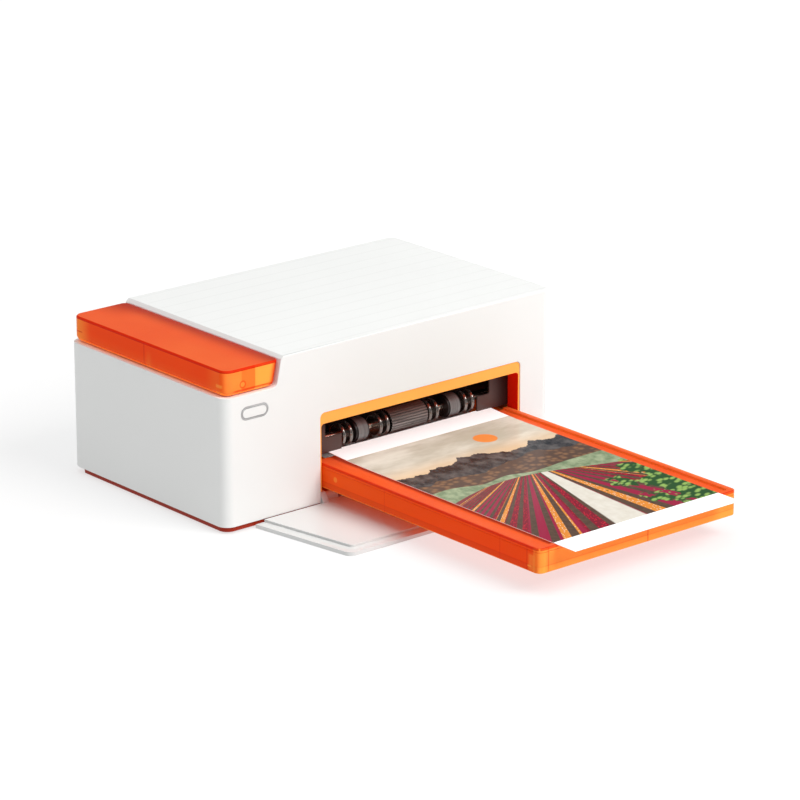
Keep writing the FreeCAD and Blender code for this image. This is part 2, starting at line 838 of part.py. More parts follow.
def guide_rings():
    """Four pairs of thin rings, each pair on one hub."""
    pairs = []
    for off in ring_offs:
        for side in (-1, 1):
            x = path_x + side * off
            hub = rod_x(around(x, ring_pair), roller_y, roller_z, ring_hub_r)
            spots = [around(x + s * ring_pair / 2, ring_t) for s in (-1, 1)]
            rings = [rod_x(spot, roller_y, roller_z, roller_r) for spot in spots]
            hole = rod_x(around(x, 2 * ring_pair), roller_y, roller_z, shaft_r)
            pairs.append(hub.multiFuse(rings).cut(hole).removeSplitter())
    return group(pairs)


def pitch_r(teeth):
    """Pitch radius of a gear."""
    return module * teeth / 2


def idler_place():
    """Axis of the idler, which meshes with the feed gear and the grip gear."""
    to_feed = pitch_r(feed_teeth) + pitch_r(idler_teeth)
    to_grip = pitch_r(grip_teeth) + pitch_r(idler_teeth)
    dy = grip_y - roller_y
    dz = grip_z - roller_z
    span = math.hypot(dy, dz)
    along = (to_feed ** 2 - to_grip ** 2 + span ** 2) / (2 * span)
    aside = math.sqrt(to_feed ** 2 - along ** 2)
    return (roller_y + (along * dy - aside * dz) / span, roller_z + (along * dz + aside * dy) / span)


def motor_place():
    """Axis of the motor, whose pinion meshes with the idler."""
    reach = pitch_r(idler_teeth) + pitch_r(motor_teeth)
    lean = math.radians(motor_lean_deg)
    y, z = idler_place()
    return (y + reach * math.cos(lean), z + reach * math.sin(lean))


def flank_angle(r, teeth):
    """Half the angle of a tooth at a radius, from its involute flank."""
    base_r = pitch_r(teeth) * math.cos(math.radians(pressure_deg))
    at_pitch = math.radians(pressure_deg)
    at_r = math.acos(min(1, base_r / r))
    half = math.pi / (2 * teeth) - tooth_play / (2 * pitch_r(teeth))
    return half + (math.tan(at_pitch) - at_pitch) - (math.tan(at_r) - at_r)


def toothed(teeth, place, phase, x):
    """Spur gear with one tooth pointing along the phase angle."""
    tip_r = pitch_r(teeth) + tooth_tip_share * module
    root_r = pitch_r(teeth) - tooth_root_share * module
    low_r = max(root_r, pitch_r(teeth) * math.cos(math.radians(pressure_deg)))
    points = []
    for i in range(teeth):
        middle = phase + 2 * math.pi * i / teeth
        flank = [(root_r, flank_angle(low_r, teeth)), (low_r + tooth_foot, flank_angle(low_r, teeth)),
                 (pitch_r(teeth), flank_angle(pitch_r(teeth), teeth)), (tip_r, flank_angle(tip_r, teeth))]
        tooth = [(r, -a) for r, a in flank] + [(r, a) for r, a in reversed(flank)]
        for r, a in tooth:
            points.append((place[0] + r * math.cos(middle + a), place[1] + r * math.sin(middle + a)))
    return along_x(x, points)


def mesh_phase(place_a, phase_a, teeth_a, place_b, teeth_b):
    """Phase of gear b that puts a gap of it where gear a has a tooth."""
    line = math.atan2(place_b[1] - place_a[1], place_b[0] - place_a[0])
    turn_a = ((line - phase_a) * teeth_a / (2 * math.pi)) % 1
    return line + math.pi - (0.5 - turn_a) * 2 * math.pi / teeth_b


def gear_phases():
    """Phase of each gear, worked out from the idler."""
    idler = idler_place()
    feed = mesh_phase(idler, 0, idler_teeth, (roller_y, roller_z), feed_teeth)
    grip = mesh_phase(idler, 0, idler_teeth, (grip_y, grip_z), grip_teeth)
    motor = mesh_phase(idler, 0, idler_teeth, motor_place(), motor_teeth)
    return feed, grip, motor


def feed_gear():
    """Gear on the left end of the feed shaft."""
    body = toothed(feed_teeth, (roller_y, roller_z), gear_phases()[0], gear_x)
    return body.cut(rod_x(grown(gear_x, overrun), roller_y, roller_z, shaft_r))


def idler_gear():
    """Idler between the motor, the feed shaft and the grip roller."""
    y, z = idler_place()
    body = toothed(idler_teeth, (y, z), 0, gear_x)
    return body.cut(rod_x(grown(gear_x, overrun), y, z, post_r + running))


def idler_post():
    """Headed post on the left side plate that the idler turns on."""
    y, z = idler_place()
    post = rod_x((gear_x[0] - 2 * small_gap, plate_in[0]), y, z, post_r)
    head = rod_x((gear_x[0] - 3 * small_gap - small_gap, gear_x[0] - small_gap), y, z, gear_hub_r)
    return post.fuse(head).removeSplitter()


def grip_gear():
    """Gear on the left end of the grip roller."""
    body = toothed(grip_teeth, (grip_y, grip_z), gear_phases()[1], gear_x)
    return body.cut(rod_x(grown(gear_x, overrun), grip_y, grip_z, grip_shaft_r))


def motor_pinion():
    """Pinion with its motor shaft, which reaches into the can."""
    y, z = motor_place()
    body = toothed(motor_teeth, (y, z), gear_phases()[2], gear_x)
    shaft = rod_x((bracket_x()[0] - motor_l / 2, gear_x[1]), y, z, motor_shaft_r)
    return body.fuse(shaft).removeSplitter()


def bracket_x():
    """X limits of the motor bracket's plate."""
    high = gear_x[0] - 2 * overrun
    return (high - bracket_t, high)


def motor_bracket():
    """Plate beside the gears that carries the motor, on three legs from the side plate."""
    y, z = motor_place()
    x = bracket_x()
    plate = span_box(x, around(y, bracket_side), around(z, bracket_h))
    plate = rounded(plate, 3 * bracket_t, V(1, 0, 0))
    legs = []
    for sy, sz in ((-1, 1), (1, 1), (1, -1)):
        ly = y + sy * (bracket_side / 2 - 2 * bracket_leg_r)
        lz = z + sz * (bracket_h / 2 - 2 * bracket_leg_r)
        legs.append(rod_x((x[0], plate_out[0]), ly, lz, bracket_leg_r))
    return joined([plate] + legs).cut(rod_x(grown(x, overrun), y, z, motor_boss_r))


def feed_motor():
    """Motor can with its front boss in the bracket."""
    y, z = motor_place()
    x = (bracket_x()[0] - motor_l, bracket_x()[0])
    can = rod_x(x, y, z, motor_r)
    boss = rod_x((x[1], bracket_x()[1]), y, z, motor_boss_r)
    hole = rod_x((x[0] + motor_l / 2 - overrun, gear_x[0]), y, z, motor_shaft_r + running)
    return can.fuse(boss).cut(hole).removeSplitter()


def grip_roller():
    """Steel roller under the sheet, with its shaft ends."""
    body = rod_x(roller_x, grip_y, grip_z, grip_r)
    shaft = rod_x((gear_x[0], plate_out[1] + overrun), grip_y, grip_z, grip_shaft_r)
    return body.fuse(shaft).removeSplitter()


def pinch_roller():
    """Roller that presses the sheet onto the grip roller."""
    body = rod_x(roller_x, grip_y, pinch_z, pinch_r)
    shaft = rod_x((plate_out[0] - small_gap, plate_out[1] + overrun), grip_y, pinch_z, pinch_shaft_r)
    return body.fuse(shaft).removeSplitter()


def platen_shaft():
    """Steel shaft of the platen."""
    x = grown((plate_out[0], plate_out[1]), 2 * bush_flange_t)
    return rod_x(x, platen_y, platen_z, platen_shaft_r)


def platen_roller():
    """Rubber roller under the print head."""
    hole = rod_x(grown(roller_x, overrun), platen_y, platen_z, platen_shaft_r)
    return rod_x(roller_x, platen_y, platen_z, platen_r).cut(hole)


def upper_guide():
    """Black guide: wall behind the feed rollers and ramp down to them."""
    t = guide_plate_t
    end_z = path_z + 2 * guide_drop
    low, high = back_guide_z
    outline = [(back_guide_y, low), (guide_end_y, end_z), (guide_end_y, end_z + t),
               (back_guide_y + t, low + 2 * t), (back_guide_y + t, high), (back_guide_y, high)]
    return along_x(plate_in, outline)


def lower_guide():
    """Black ramp that leads the sheet from the cassette up to the grip roller."""
    t = guide_plate_t
    end_z = path_z - guide_drop
    outline = [(lower_guide_y, lower_guide_z - t), (guide_end_y - t, end_z - t - guide_drop),
               (guide_end_y - t, end_z), (lower_guide_y, lower_guide_z)]
    return along_x(plate_in, outline)


def rear_guide():
    """Flat guide from the platen to the rear slot."""
    top = path_z - guide_drop
    return span_box(plate_in, rear_guide_y, (top - guide_plate_t, top))


def head_arm_x(side):
    """X limits of the left or right head arm."""
    if side < 0:
        return (plate_in[0] + head_arm_from_plate, plate_in[0] + head_arm_from_plate + head_arm_t)
    return (plate_in[1] - head_arm_from_plate - head_arm_t, plate_in[1] - head_arm_from_plate)


def head_top():
    """Height of the tops of the heat sink's fins."""
    return head_base_z + head_base_t + head_fin_h


def heat_sink():
    """Aluminium bar over the platen with fins along it."""
    base_x = (head_arm_x(-1)[1], head_arm_x(1)[0])
    base = span_box(base_x, head_y, (head_base_z, head_base_z + head_base_t))
    fin_x = grown(case_in, -overrun)
    pitch = (head_y[1] - head_y[0] - head_fin_t) / (head_fin_count - 1)
    fins = []
    for i in range(head_fin_count):
        y0 = head_y[0] + i * pitch
        fins.append(span_box(fin_x, (y0, y0 + head_fin_t), (head_base_z, head_top())))
    return joined([base] + fins)


def head_element():
    """Ceramic strip under the heat sink that faces the ribbon."""
    return span_box(roller_x, head_element_y, (head_base_z - head_element_t, head_base_z))


def head_arms():
    """Two arms from the head's ends back to its pivot."""
    arms = []
    low = head_base_z
    high = head_base_z + head_arm_h
    eye_z = grown((head_axis_z, head_axis_z), head_arm_r)
    outline = [(head_y[0], low), (head_axis_y, eye_z[0]), (head_axis_y, eye_z[1]), (head_y[0], high)]
    for side in (-1, 1):
        x = head_arm_x(side)
        eye = rod_x(x, head_axis_y, head_axis_z, head_arm_r)
        arm = joined([along_x(x, outline), eye])
        arms.append(arm.cut(rod_x(grown(x, overrun), head_axis_y, head_axis_z, head_axis_r + running)))
    return group(arms)


def head_pivot():
    """Steel shaft that the head arms turn on."""
    return rod_x((plate_out[0], plate_out[1]), head_axis_y, head_axis_z, head_axis_r)


def head_springs():
    """Two leaf springs from the top beam down to the heat sink."""
    top = plate_top - beam_t
    low = head_top() + small_gap
    t = head_spring_t
    reach = (top - low) / 2
    leaves = []
    for side in (-1, 1):
        x = around(path_x + side * sheet_w / 4, head_spring_w)
        y0 = beam_y[0] + 2 * beam_t
        points = [(y0, top), (y0, top - t), (y0 + reach, top - t), (y0, low + t), (y0, low), (y0 + t, low),
                  (y0 + t, low + t / 2), (y0 + reach + 2 * t, top)]
        leaves.append(along_x(x, points))
    return group(leaves)


def ribbon_case():
    """Ribbon cartridge: two hoods over the spools and two end plates."""
    hoods = []
    z_cut = spool_z - spool_core_r
    for y in (supply_y, takeup_y):
        tube = rod_x(case_x, y, spool_z, case_r)
        tube = tube.cut(rod_x(case_in, y, spool_z, case_r - case_wall))
        mouth = span_box(case_in, around(y, 2 * case_r + overrun), (spool_z - 2 * case_r, z_cut))
        hoods.append(tube.cut(mouth))
    bars = [span_box((case_x[0], case_in[0]), (takeup_y, supply_y), case_bar_z),
            span_box((case_in[1], case_x[1]), (takeup_y, supply_y), case_bar_z)]
    case = joined(hoods + bars)
    holes = [rod_x(grown(case_x, overrun), y, spool_z, spool_end_r + running) for y in (supply_y, takeup_y)]
    return case.cut(Part.makeCompound(holes))


def spool(y, film_r):
    """Ribbon spool with its ends in the cartridge's end plates."""
    core = rod_x(grown(case_x, overrun), y, spool_z, spool_end_r)
    film = rod_x(grown(case_in, -ribbon_in), y, spool_z, film_r)
    body = [core, rod_x(grown(case_in, -small_gap), y, spool_z, spool_core_r), film]
    for x in (case_in[0] + ribbon_in - spool_flange_t, case_in[1] - ribbon_in):
        body.append(rod_x((x, x + spool_flange_t), y, spool_z, spool_flange_r))
    return joined(body)


def ribbon_film():
    """Ribbon web: down from the take-up spool, under the head and up to the supply spool."""
    x = grown(case_in, -ribbon_in - overrun)
    t = ribbon_t
    gap = 2 * small_gap
    slope = math.sqrt(0.5)
    start = (takeup_y + (takeup_r + gap) * slope, spool_z - (takeup_r + gap) * slope)
    end = (supply_y - (supply_r + gap) * slope, spool_z - (supply_r + gap) * slope)
    under = (head_y[0] + overrun, head_y[1] - overrun)
    top = [start, (under[0], ribbon_z + t), (under[1], ribbon_z + t), end]
    low = [(end[0] + t, end[1] - t), (under[1], ribbon_z), (under[0], ribbon_z)]
    return along_x(x, top + low + [(start[0] - t, start[1] - t)])


def oval_button():
    """Button: oval cap, wider flange behind the wall and a stem to the switch."""
    z = button_z
    w = button_w - 2 * button_ring_w - small_gap
    h = button_tall - 2 * button_ring_w - small_gap
    cap = oval(button_x, z, w, h, (0, shell_wall + small_gap))
    flange_y = (shell_wall + small_gap, shell_wall + small_gap + button_flange_t)
    flange = oval(button_x, z, button_w + button_flange, button_tall + button_flange, flange_y)
    stem = rod_y((flange_y[0], switch_front() - button_travel - running), button_x, z, button_stem_r)
    return joined([cap, flange, stem])


def switch_front():
    """Y of the front of the switch's plunger."""
    return board_y - switch_t - plunger_l


def button_ring():
    """Grey ring in the shell around the button."""
    z = button_z
    y = (running, shell_wall)
    outer = oval(button_x, z, button_w, button_tall, y)
    hole_w = button_w - 2 * button_ring_w
    hole = oval(button_x, z, hole_w, button_tall - 2 * button_ring_w, grown(y, overrun))
    return outer.cut(hole)


def board_posts():
    """Places of the two posts behind the front wall that carry the button board."""
    dx = board_w / 2 - 2 * screw_r
    dz = board_tall / 2 - 2 * screw_r
    z = button_z
    return [(button_x - dx, z + dz), (button_x + dx, z - dz)]


def button_board():
    """Small circuit board with the switch behind the button."""
    z = button_z
    plate = span_box(around(button_x, board_w), (board_y, board_y + board_t), around(z, board_tall))
    switch = span_box(around(button_x, switch_side), (board_y - switch_t, board_y), around(z, switch_side))
    plunger = rod_y((switch_front(), board_y - switch_t), button_x, z, plunger_r)
    return joined([plate, switch, plunger])


def cassette_tray():
    """Paper cassette: tray with rounded front corners, guide walls, nose ribs and rear ramp."""
    y = (-cassette_out, cassette_in)
    z = (cassette_z, lid_z)
    block = span_box(cassette_x, y, z)
    block = rounded(block, cassette_corner_r, V(0, 0, 1), lambda p: p.y < 0)
    room_x = grown(cassette_x, -cassette_wall)
    room = span_box(room_x, grown(y, -cassette_wall), (floor_z, z[1] + overrun))
    tray = block.cut(rounded(room, cassette_corner_r - cassette_wall, V(0, 0, 1), lambda p: p.y < 0))
    inside_z = (floor_z - small_gap, z[1])
    nose_y = y[0] + nose_gap
    adds = [span_box(grown(cassette_x, -cassette_wall / 2), (nose_y - nose_rib_t, nose_y), inside_z),
            span_box(around(path_x, nose_rib_t), (y[0] + cassette_wall / 2, nose_y), inside_z)]
    for inner, outer in ((paper_x[0] - side_play, paper_x[0] - side_play - guide_t),
                         (paper_x[1] + side_play, paper_x[1] + side_play + guide_t)):
        adds.append(span_box((min(inner, outer), max(inner, outer)), (nose_y, ramp_y[1]), inside_z))
    ramp = [(ramp_y[0], inside_z[0]), (ramp_y[1], inside_z[0]), (ramp_y[1], z[1]), (sum(ramp_y) / 2, z[1])]
    adds.append(along_x(grown(paper_x, side_play), ramp))
    for share in tray_rib_shares:
        for inner, outer in ((cassette_x[0] + cassette_wall / 2, paper_x[0] - side_play - guide_t / 2),
                             (paper_x[1] + side_play + guide_t / 2, cassette_x[1] - cassette_wall / 2)):
            rib_y = nose_y + share * (ramp_y[1] - nose_y)
            adds.append(span_box((inner, outer), around(rib_y, nose_rib_t), inside_z))
    tray = joined([tray] + adds)
    axis_y, axis_z = lift_axis()
    pivot = rod_x(grown(paper_x, side_play + guide_t + overrun), axis_y, axis_z, lift_pin_r + running)
    middle = span_box(grown(paper_x, side_play), around(axis_y, 2 * overrun), (floor_z, lid_z))
    return tray.cut(pivot.cut(middle))


def cassette_cover():
    """Cassette lid: rail round three edges and low ribs that the print lies on."""
    y = (-cassette_out, lid_end_y)
    block = span_box(cassette_x, y, (lid_z, cassette_top))
    block = rounded(block, cassette_corner_r, V(0, 0, 1), lambda p: p.y < 0)
    sunk_y = (y[0] + lid_rail_w, y[1] + overrun)
    sunk = span_box(grown(cassette_x, -lid_rail_w), sunk_y, (lid_z + lid_t, cassette_top + overrun))
    sunk = rounded(sunk, cassette_corner_r / 2, V(0, 0, 1), lambda p: p.y < 0)
    lid = block.cut(sunk)
    ribs = []
    pitch = sheet_w / lid_rib_count
    for i in range(lid_rib_count):
        x = paper_x[0] + (2 * i + 1) * pitch / 2
        rib_y = (y[0] + lid_rail_w / 2, y[1] - lid_rail_w)
        ribs.append(span_box(around(x, lid_rib_w), rib_y, (lid_z, cassette_top)))
    return joined([lid] + ribs)


def lift_axis():
    """(y, z) of the lift plate's pivot at the front of the cassette."""
    plate_z = floor_z + lift_up + lift_t / 2
    return (-cassette_out + nose_gap + 2 * overrun, plate_z)


def lift_plate():
    """Plate under the paper with two pivot pins at its front end."""
    y0 = -cassette_out + nose_gap + small_gap
    y, z = lift_axis()
    plate = span_box(paper_x, (y0, y0 + lift_l), around(z, lift_t))
    return joined([plate, rod_x(grown(paper_x, side_play + guide_t), y, z, lift_pin_r)])


def paper_stack():
    """Blank sheets on the lift plate."""
    y0 = -cassette_out + nose_gap + small_gap
    z0 = floor_z + lift_up + lift_t
    return span_box(paper_x, (y0, y0 + sheet_l), (z0, z0 + stack_t))


def lift_spring():
    """Bowed leaf spring under the rear of the lift plate."""
    y = (0, leaf_l)
    z = (floor_z, floor_z + lift_up)
    crest = grown(y, -leaf_l / 4)
    t = leaf_t
    top = [(y[0], z[0] + t), (crest[0], z[1]), (crest[1], z[1]), (y[1], z[0] + t)]
    low = [(y[1], z[0]), (y[1] - t, z[0]), (crest[1] - t, z[1] - t), (crest[0] + t, z[1] - t),
           (y[0] + t, z[0]), (y[0], z[0])]
    return along_x(around(path_x, leaf_w), top + low)


def photo_print():
    """Finished print on the cassette's lid."""
    return span_box(paper_x, (print_y, print_y + sheet_l), (print_z, print_z + sheet_t))


def flap_slab(inset, z, r):
    """Slab with the flap's outline, narrower at its far end, drawn in from three sides."""
    y = (-flap_from_face - flap_l + inset, -flap_from_face)
    near = flap_w / 2 - inset
    far = near - flap_taper
    points = [V(-near, y[1], z[0]), V(near, y[1], z[0]), V(far, y[0], z[0]), V(-far, y[0], z[0])]
    slab = closed(points).extrude(V(0, 0, z[1] - z[0]))
    return rounded(slab, r, V(0, 0, 1), lambda p: p.y < sum(y) / 2)


def front_cover():
    """Flap: plate with a raised inner panel, hinge barrel behind it and a lug at each end."""
    y = (-flap_from_face - flap_l, -flap_from_face)
    plate = flap_slab(0, (0, flap_t), flap_corner_r)
    raised = flap_slab(flap_panel_inset, (flap_t / 2, flap_t + flap_panel_up), flap_corner_r / 2)
    low = small_gap
    back_y = flap_axis_y + flap_barrel_r
    tongue = span_box(flap_x, (y[1] - flap_panel_inset / 2, back_y), (low, flap_t + flap_panel_up))
    rise = span_box(flap_x, (flap_axis_y - flap_barrel_r, back_y), (low, flap_axis_z))
    barrel = rod_x(flap_x, flap_axis_y, flap_axis_z, flap_barrel_r)
    adds = [raised, tongue, rise, barrel]
    for span in ((flap_x[0], flap_x[0] + flap_lug_w), (flap_x[1] - flap_lug_w, flap_x[1])):
        lug = [(y[1] - flap_t, flap_t), (y[1] + flap_t, flap_lug_z), (back_y, flap_lug_z), (back_y, low)]
        adds.append(along_x(span, lug))
    flap = joined([plate] + adds)
    cuts = []
    for x_ear in flap_ear_places():
        span = around(x_ear, flap_ear_w + 2 * small_gap)
        y_room = (flap_axis_y - flap_barrel_r - small_gap, sill_y)
        cuts.append(span_box(span, y_room, (-overrun, flap_lug_z)))
        pin_room = around(x_ear, flap_pin_l + 2 * small_gap)
        cuts.append(rod_x(pin_room, flap_axis_y, flap_axis_z, flap_pin_r + running))
    return flap.cut(Part.makeCompound(cuts))


def front_hinge_pins():
    """Two pins that join the flap to the ears on the base."""
    spans = [around(x, flap_pin_l) for x in flap_ear_places()]
    return group([rod_x(span, flap_axis_y, flap_axis_z, flap_pin_r) for span in spans])


def rear_panel():
    """Rear panel in the shell's window: paper slot, fan grille, louvres and socket holes."""
    plate_x = (-window_x + panel_play, window_x - panel_play)
    plate_z = grown(window_z, -panel_play)
    plate = span_box(plate_x, (body_d - shell_wall, body_d), plate_z)
    flange_y = (body_d - shell_wall - rear_flange_t, body_d - shell_wall)
    flange = span_box(grown(plate_x, rear_flange / 2), flange_y, grown(plate_z, rear_flange))
    panel = plate.fuse(flange).removeSplitter()
    through = (flange_y[0] - overrun, body_d + overrun)
    cuts = [span_box(around(path_x, slot_w), through, slot_z)]
    for middle, z in ((fan_x, around(fan_z, vent_l)), (path_x + sheet_w / 4, around(louvre_z, louvre_l))):
        for i in range(vent_count):
            x = middle + (i - (vent_count - 1) / 2) * vent_pitch
            cuts.append(span_box(around(x, vent_w), through, z))
    cuts.append(rod_y(through, jack_x, jack_z(), jack_mouth_r + small_gap))
    usb_room = (usb_w + 2 * small_gap, usb_h + 2 * small_gap)
    cuts.append(span_box(around(usb_x, usb_room[0]), through, around(usb_z(), usb_room[1])))
    return panel.cut(Part.makeCompound(cuts))


def board_top():
    """Height of the main board's upper face."""
    return main_board_z + main_board_t


def jack_z():
    """Height of the power socket's axis."""
    return board_top() + jack_side / 2


def usb_z():
    """Height of the middle of the data socket."""
    return board_top() + usb_h / 2


def main_board():
    """Main circuit board on four posts, with its larger parts."""
    plate = span_box(main_board_x, main_board_y, (main_board_z, board_top()))
    y0 = main_board_y[0] + chip_side
    chip_x = around(sum(main_board_x) / 2, chip_side)
    plug_x = (main_board_x[0] + header_w / 2, main_board_x[0] + 3 * header_w / 2)
    chip = span_box(chip_x, (y0, y0 + chip_side), (main_board_z, board_top() + chip_t))
    header = span_box(plug_x, (y0, y0 + header_l), (main_board_z, board_top() + header_h))
    can = rod_z((main_board_z, board_top() + can_h), main_board_x[1] - 2 * can_r, y0 + header_l, can_r)
    return joined([plate, chip, header, can])


def power_socket():
    """Round power inlet with its centre pin."""
    back = body_d - small_gap
    body_y = (body_d - shell_wall - rear_flange_t - jack_l, body_d - shell_wall - rear_flange_t - small_gap)
    body = span_box(around(jack_x, jack_side), body_y, (board_top(), board_top() + jack_side))
    mouth = rod_y((body_y[1] - overrun, back), jack_x, jack_z(), jack_mouth_r)
    bore = rod_y((body_y[0] + 3 * overrun, back + overrun), jack_x, jack_z(), jack_bore_r)
    pin = rod_y((body_y[0] + 2 * overrun, back - overrun), jack_x, jack_z(), jack_pin_r)
    return joined([joined([body, mouth]).cut(bore), pin])


def usb_port():
    """Flat data socket with its tongue."""
    y = (body_d - shell_wall - usb_l, body_d - small_gap)
    shell = span_box(around(usb_x, usb_w), y, (board_top(), board_top() + usb_h))
    shell = rounded(shell, usb_h * usb_round_share, V(0, 1, 0))
    room_w = usb_w - 2 * usb_wall
    room_h = usb_h - 2 * usb_wall
    room = span_box(around(usb_x, room_w), (y[0] + overrun, y[1] + overrun), around(usb_z(), room_h))
    room = rounded(room, room_h * usb_round_share, V(0, 1, 0))
    tongue_y = (y[0] + overrun / 2, y[1] - overrun)
    tongue = span_box(around(usb_x, room_w * usb_tongue_share), tongue_y, around(usb_z(), room_h / 3))
    return joined([shell.cut(room), tongue])


def fan_y():
    """Y limits of the fan, which lies against the rear panel's flange."""
    back = body_d - shell_wall - rear_flange_t
    return (back - fan_t, back)


def fan_frame():
    """Square fan frame with a motor seat on three struts."""
    y = fan_y()
    block = span_box(around(fan_x, fan_side), y, around(fan_z, fan_side))
    block = rounded(block, body_corner_r / 2, V(0, 1, 0))
    frame = block.cut(rod_y(grown(y, overrun), fan_x, fan_z, fan_bore_r))
    strut_y = (y[1] - strut_w, y[1])
    adds = [rod_y(strut_y, fan_x, fan_z, fan_hub_r)]
    for i in range(strut_count):
        strut = span_box((fan_x, fan_x + fan_bore_r + strut_w), strut_y, around(fan_z, strut_w))
        strut.rotate(V(fan_x, 0, fan_z), V(0, 1, 0), i * 360 / strut_count)
        adds.append(strut)
    return joined([frame] + adds)


def fan_rotor():
    """Fan rotor: hub and twisted blades."""
    y = (fan_y()[0] + overrun, fan_y()[1] - strut_w - small_gap)
    hub = rod_y(y, fan_x, fan_z, fan_hub_r)
    blades = []
    middle = sum(y) / 2
    for i in range(blade_count):
        reach = (fan_x + fan_hub_r - overrun, fan_x + fan_tip_r)
        blade = span_box(reach, around(middle, blade_t), around(fan_z, blade_chord))
        blade.rotate(V(fan_x, middle, fan_z), V(1, 0, 0), blade_twist_deg)
        blade.rotate(V(fan_x, middle, fan_z), V(0, 1, 0), i * 360 / blade_count)
        blades.append(blade)
    return joined([hub] + blades)


pieces = {
    "outer_shell": outer_shell, "ribbon_cover": ribbon_cover, "cover_hinge_pins": cover_hinge_pins,
    "base_plate": base_plate, "rubber_feet": rubber_feet, "shell_screws": shell_screws,
    "chassis_screws": chassis_screws, "opening_frame": opening_frame, "feed_panel": feed_panel,
    "left_side_plate": lambda: side_plate(-1), "right_side_plate": lambda: side_plate(1),
    "top_beam": top_beam, "shaft_bushes": shaft_bushes, "feed_shaft": feed_shaft,
    "pickup_roller": pickup_roller, "feed_wheels": feed_wheels, "guide_rings": guide_rings,
    "feed_gear": feed_gear, "idler_gear": idler_gear, "idler_post": idler_post,
    "grip_gear": grip_gear, "motor_pinion": motor_pinion, "motor_bracket": motor_bracket,
    "feed_motor": feed_motor, "grip_roller": grip_roller, "pinch_roller": pinch_roller,
    "platen_shaft": platen_shaft, "platen_roller": platen_roller, "upper_guide": upper_guide,
    "lower_guide": lower_guide, "rear_guide": rear_guide, "heat_sink": heat_sink,
    "head_element": head_element, "head_arms": head_arms, "head_pivot": head_pivot,
    "head_springs": head_springs, "ribbon_case": ribbon_case,
    "supply_spool": lambda: spool(supply_y, supply_r), "takeup_spool": lambda: spool(takeup_y, takeup_r),
    "ribbon_film": ribbon_film, "power_button": oval_button, "button_ring": button_ring,
    "button_board": button_board, "cassette_base": cassette_tray, "cassette_lid": cassette_cover,
    "lift_plate": lift_plate, "lift_spring": lift_spring, "paper_stack": paper_stack,
    "photo_print": photo_print, "front_cover": front_cover, "front_hinge_pins": front_hinge_pins,
    "rear_panel": rear_panel, "main_board": main_board, "power_socket": power_socket,
    "usb_port": usb_port, "fan_frame": fan_frame, "fan_rotor": fan_rotor,
}

os.makedirs("parts", exist_ok=True)
for name, make in pieces.items():
    shape = make()
    shape.translate(V(0, front_y, 0))
    print(name, "valid" if shape.isValid() else "NOT VALID", len(shape.Solids), round(shape.Volume, 1))
    shape.exportStep("parts/" + name + ".step")
print("length", -print_y + body_d, "front face at", front_y)
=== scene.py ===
"""Finish of a compact photo printer: white grooved shell, translucent orange cover and cassette,
feed rollers in the front opening, a print on the cassette, and the mechanism inside."""

import bmesh
import bpy
import json
import math
from mathutils import Matrix, Vector

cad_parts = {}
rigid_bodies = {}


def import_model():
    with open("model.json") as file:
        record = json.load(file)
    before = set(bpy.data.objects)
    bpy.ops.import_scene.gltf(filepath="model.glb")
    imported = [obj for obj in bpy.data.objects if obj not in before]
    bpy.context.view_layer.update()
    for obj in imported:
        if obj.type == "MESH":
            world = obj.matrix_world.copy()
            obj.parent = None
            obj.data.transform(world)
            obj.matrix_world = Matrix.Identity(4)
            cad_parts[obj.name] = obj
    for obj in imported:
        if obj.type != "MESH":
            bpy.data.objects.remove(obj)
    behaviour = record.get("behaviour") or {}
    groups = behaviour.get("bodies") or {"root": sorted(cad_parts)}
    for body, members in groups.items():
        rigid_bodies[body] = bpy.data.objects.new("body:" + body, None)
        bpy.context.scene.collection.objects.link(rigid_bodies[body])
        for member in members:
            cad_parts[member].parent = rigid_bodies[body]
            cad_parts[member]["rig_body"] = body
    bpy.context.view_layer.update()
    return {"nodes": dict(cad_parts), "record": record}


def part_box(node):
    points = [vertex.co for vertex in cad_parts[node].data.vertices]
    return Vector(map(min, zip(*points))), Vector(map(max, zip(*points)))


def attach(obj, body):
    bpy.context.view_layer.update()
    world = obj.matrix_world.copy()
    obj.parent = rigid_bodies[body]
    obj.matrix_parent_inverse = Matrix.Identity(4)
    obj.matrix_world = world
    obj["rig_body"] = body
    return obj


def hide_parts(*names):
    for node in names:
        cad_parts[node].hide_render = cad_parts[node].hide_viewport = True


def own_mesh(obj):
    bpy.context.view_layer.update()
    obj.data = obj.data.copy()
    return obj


bl_info = {
    "name": "Compact Photo Printer Finish",
    "version": (1, 0, 0),
    "blender": (4, 5, 0),
    "location": "View3D > Sidebar > Printer",
    "description": "Dresses the pieces of a compact photo printer",
    "category": "Object",
}

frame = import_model()

MM = 0.001
BLACK = (0.0, 0.0, 0.0)
QUARTER_TURN = (0.0, math.radians(90), 0.0)
SHARP_EDGE = math.radians(38)
SHARP_SHADING = math.radians(32)
FLAT_ENOUGH = math.radians(0.4)
SAME_POINT = 0.0005 * MM


def low(node):
    """Lowest corner of a CAD node."""
    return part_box(node)[0]


def high(node):
    """Highest corner of a CAD node."""
    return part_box(node)[1]


def middle(node):
    """Middle of a CAD node."""
    return (low(node) + high(node)) / 2


def length(name, description, millimetres):
    """A length that a user can change."""
    return bpy.props.FloatProperty(name=name, description=description, default=millimetres * MM,
                                   unit="LENGTH")


def number(name, description, default, **limits):
    """A plain number or an angle that a user can change."""
    return bpy.props.FloatProperty(name=name, description=description, default=default, **limits)


def count(name, description, default, least):
    """A number of like details that a user can change."""
    return bpy.props.IntProperty(name=name, description=description, default=default, min=least)


def triple(name, description, default, subtype="COLOR"):
    """A colour or a place that a user can change."""
    return bpy.props.FloatVectorProperty(name=name, description=description, default=default,
                                         subtype=subtype, size=3)


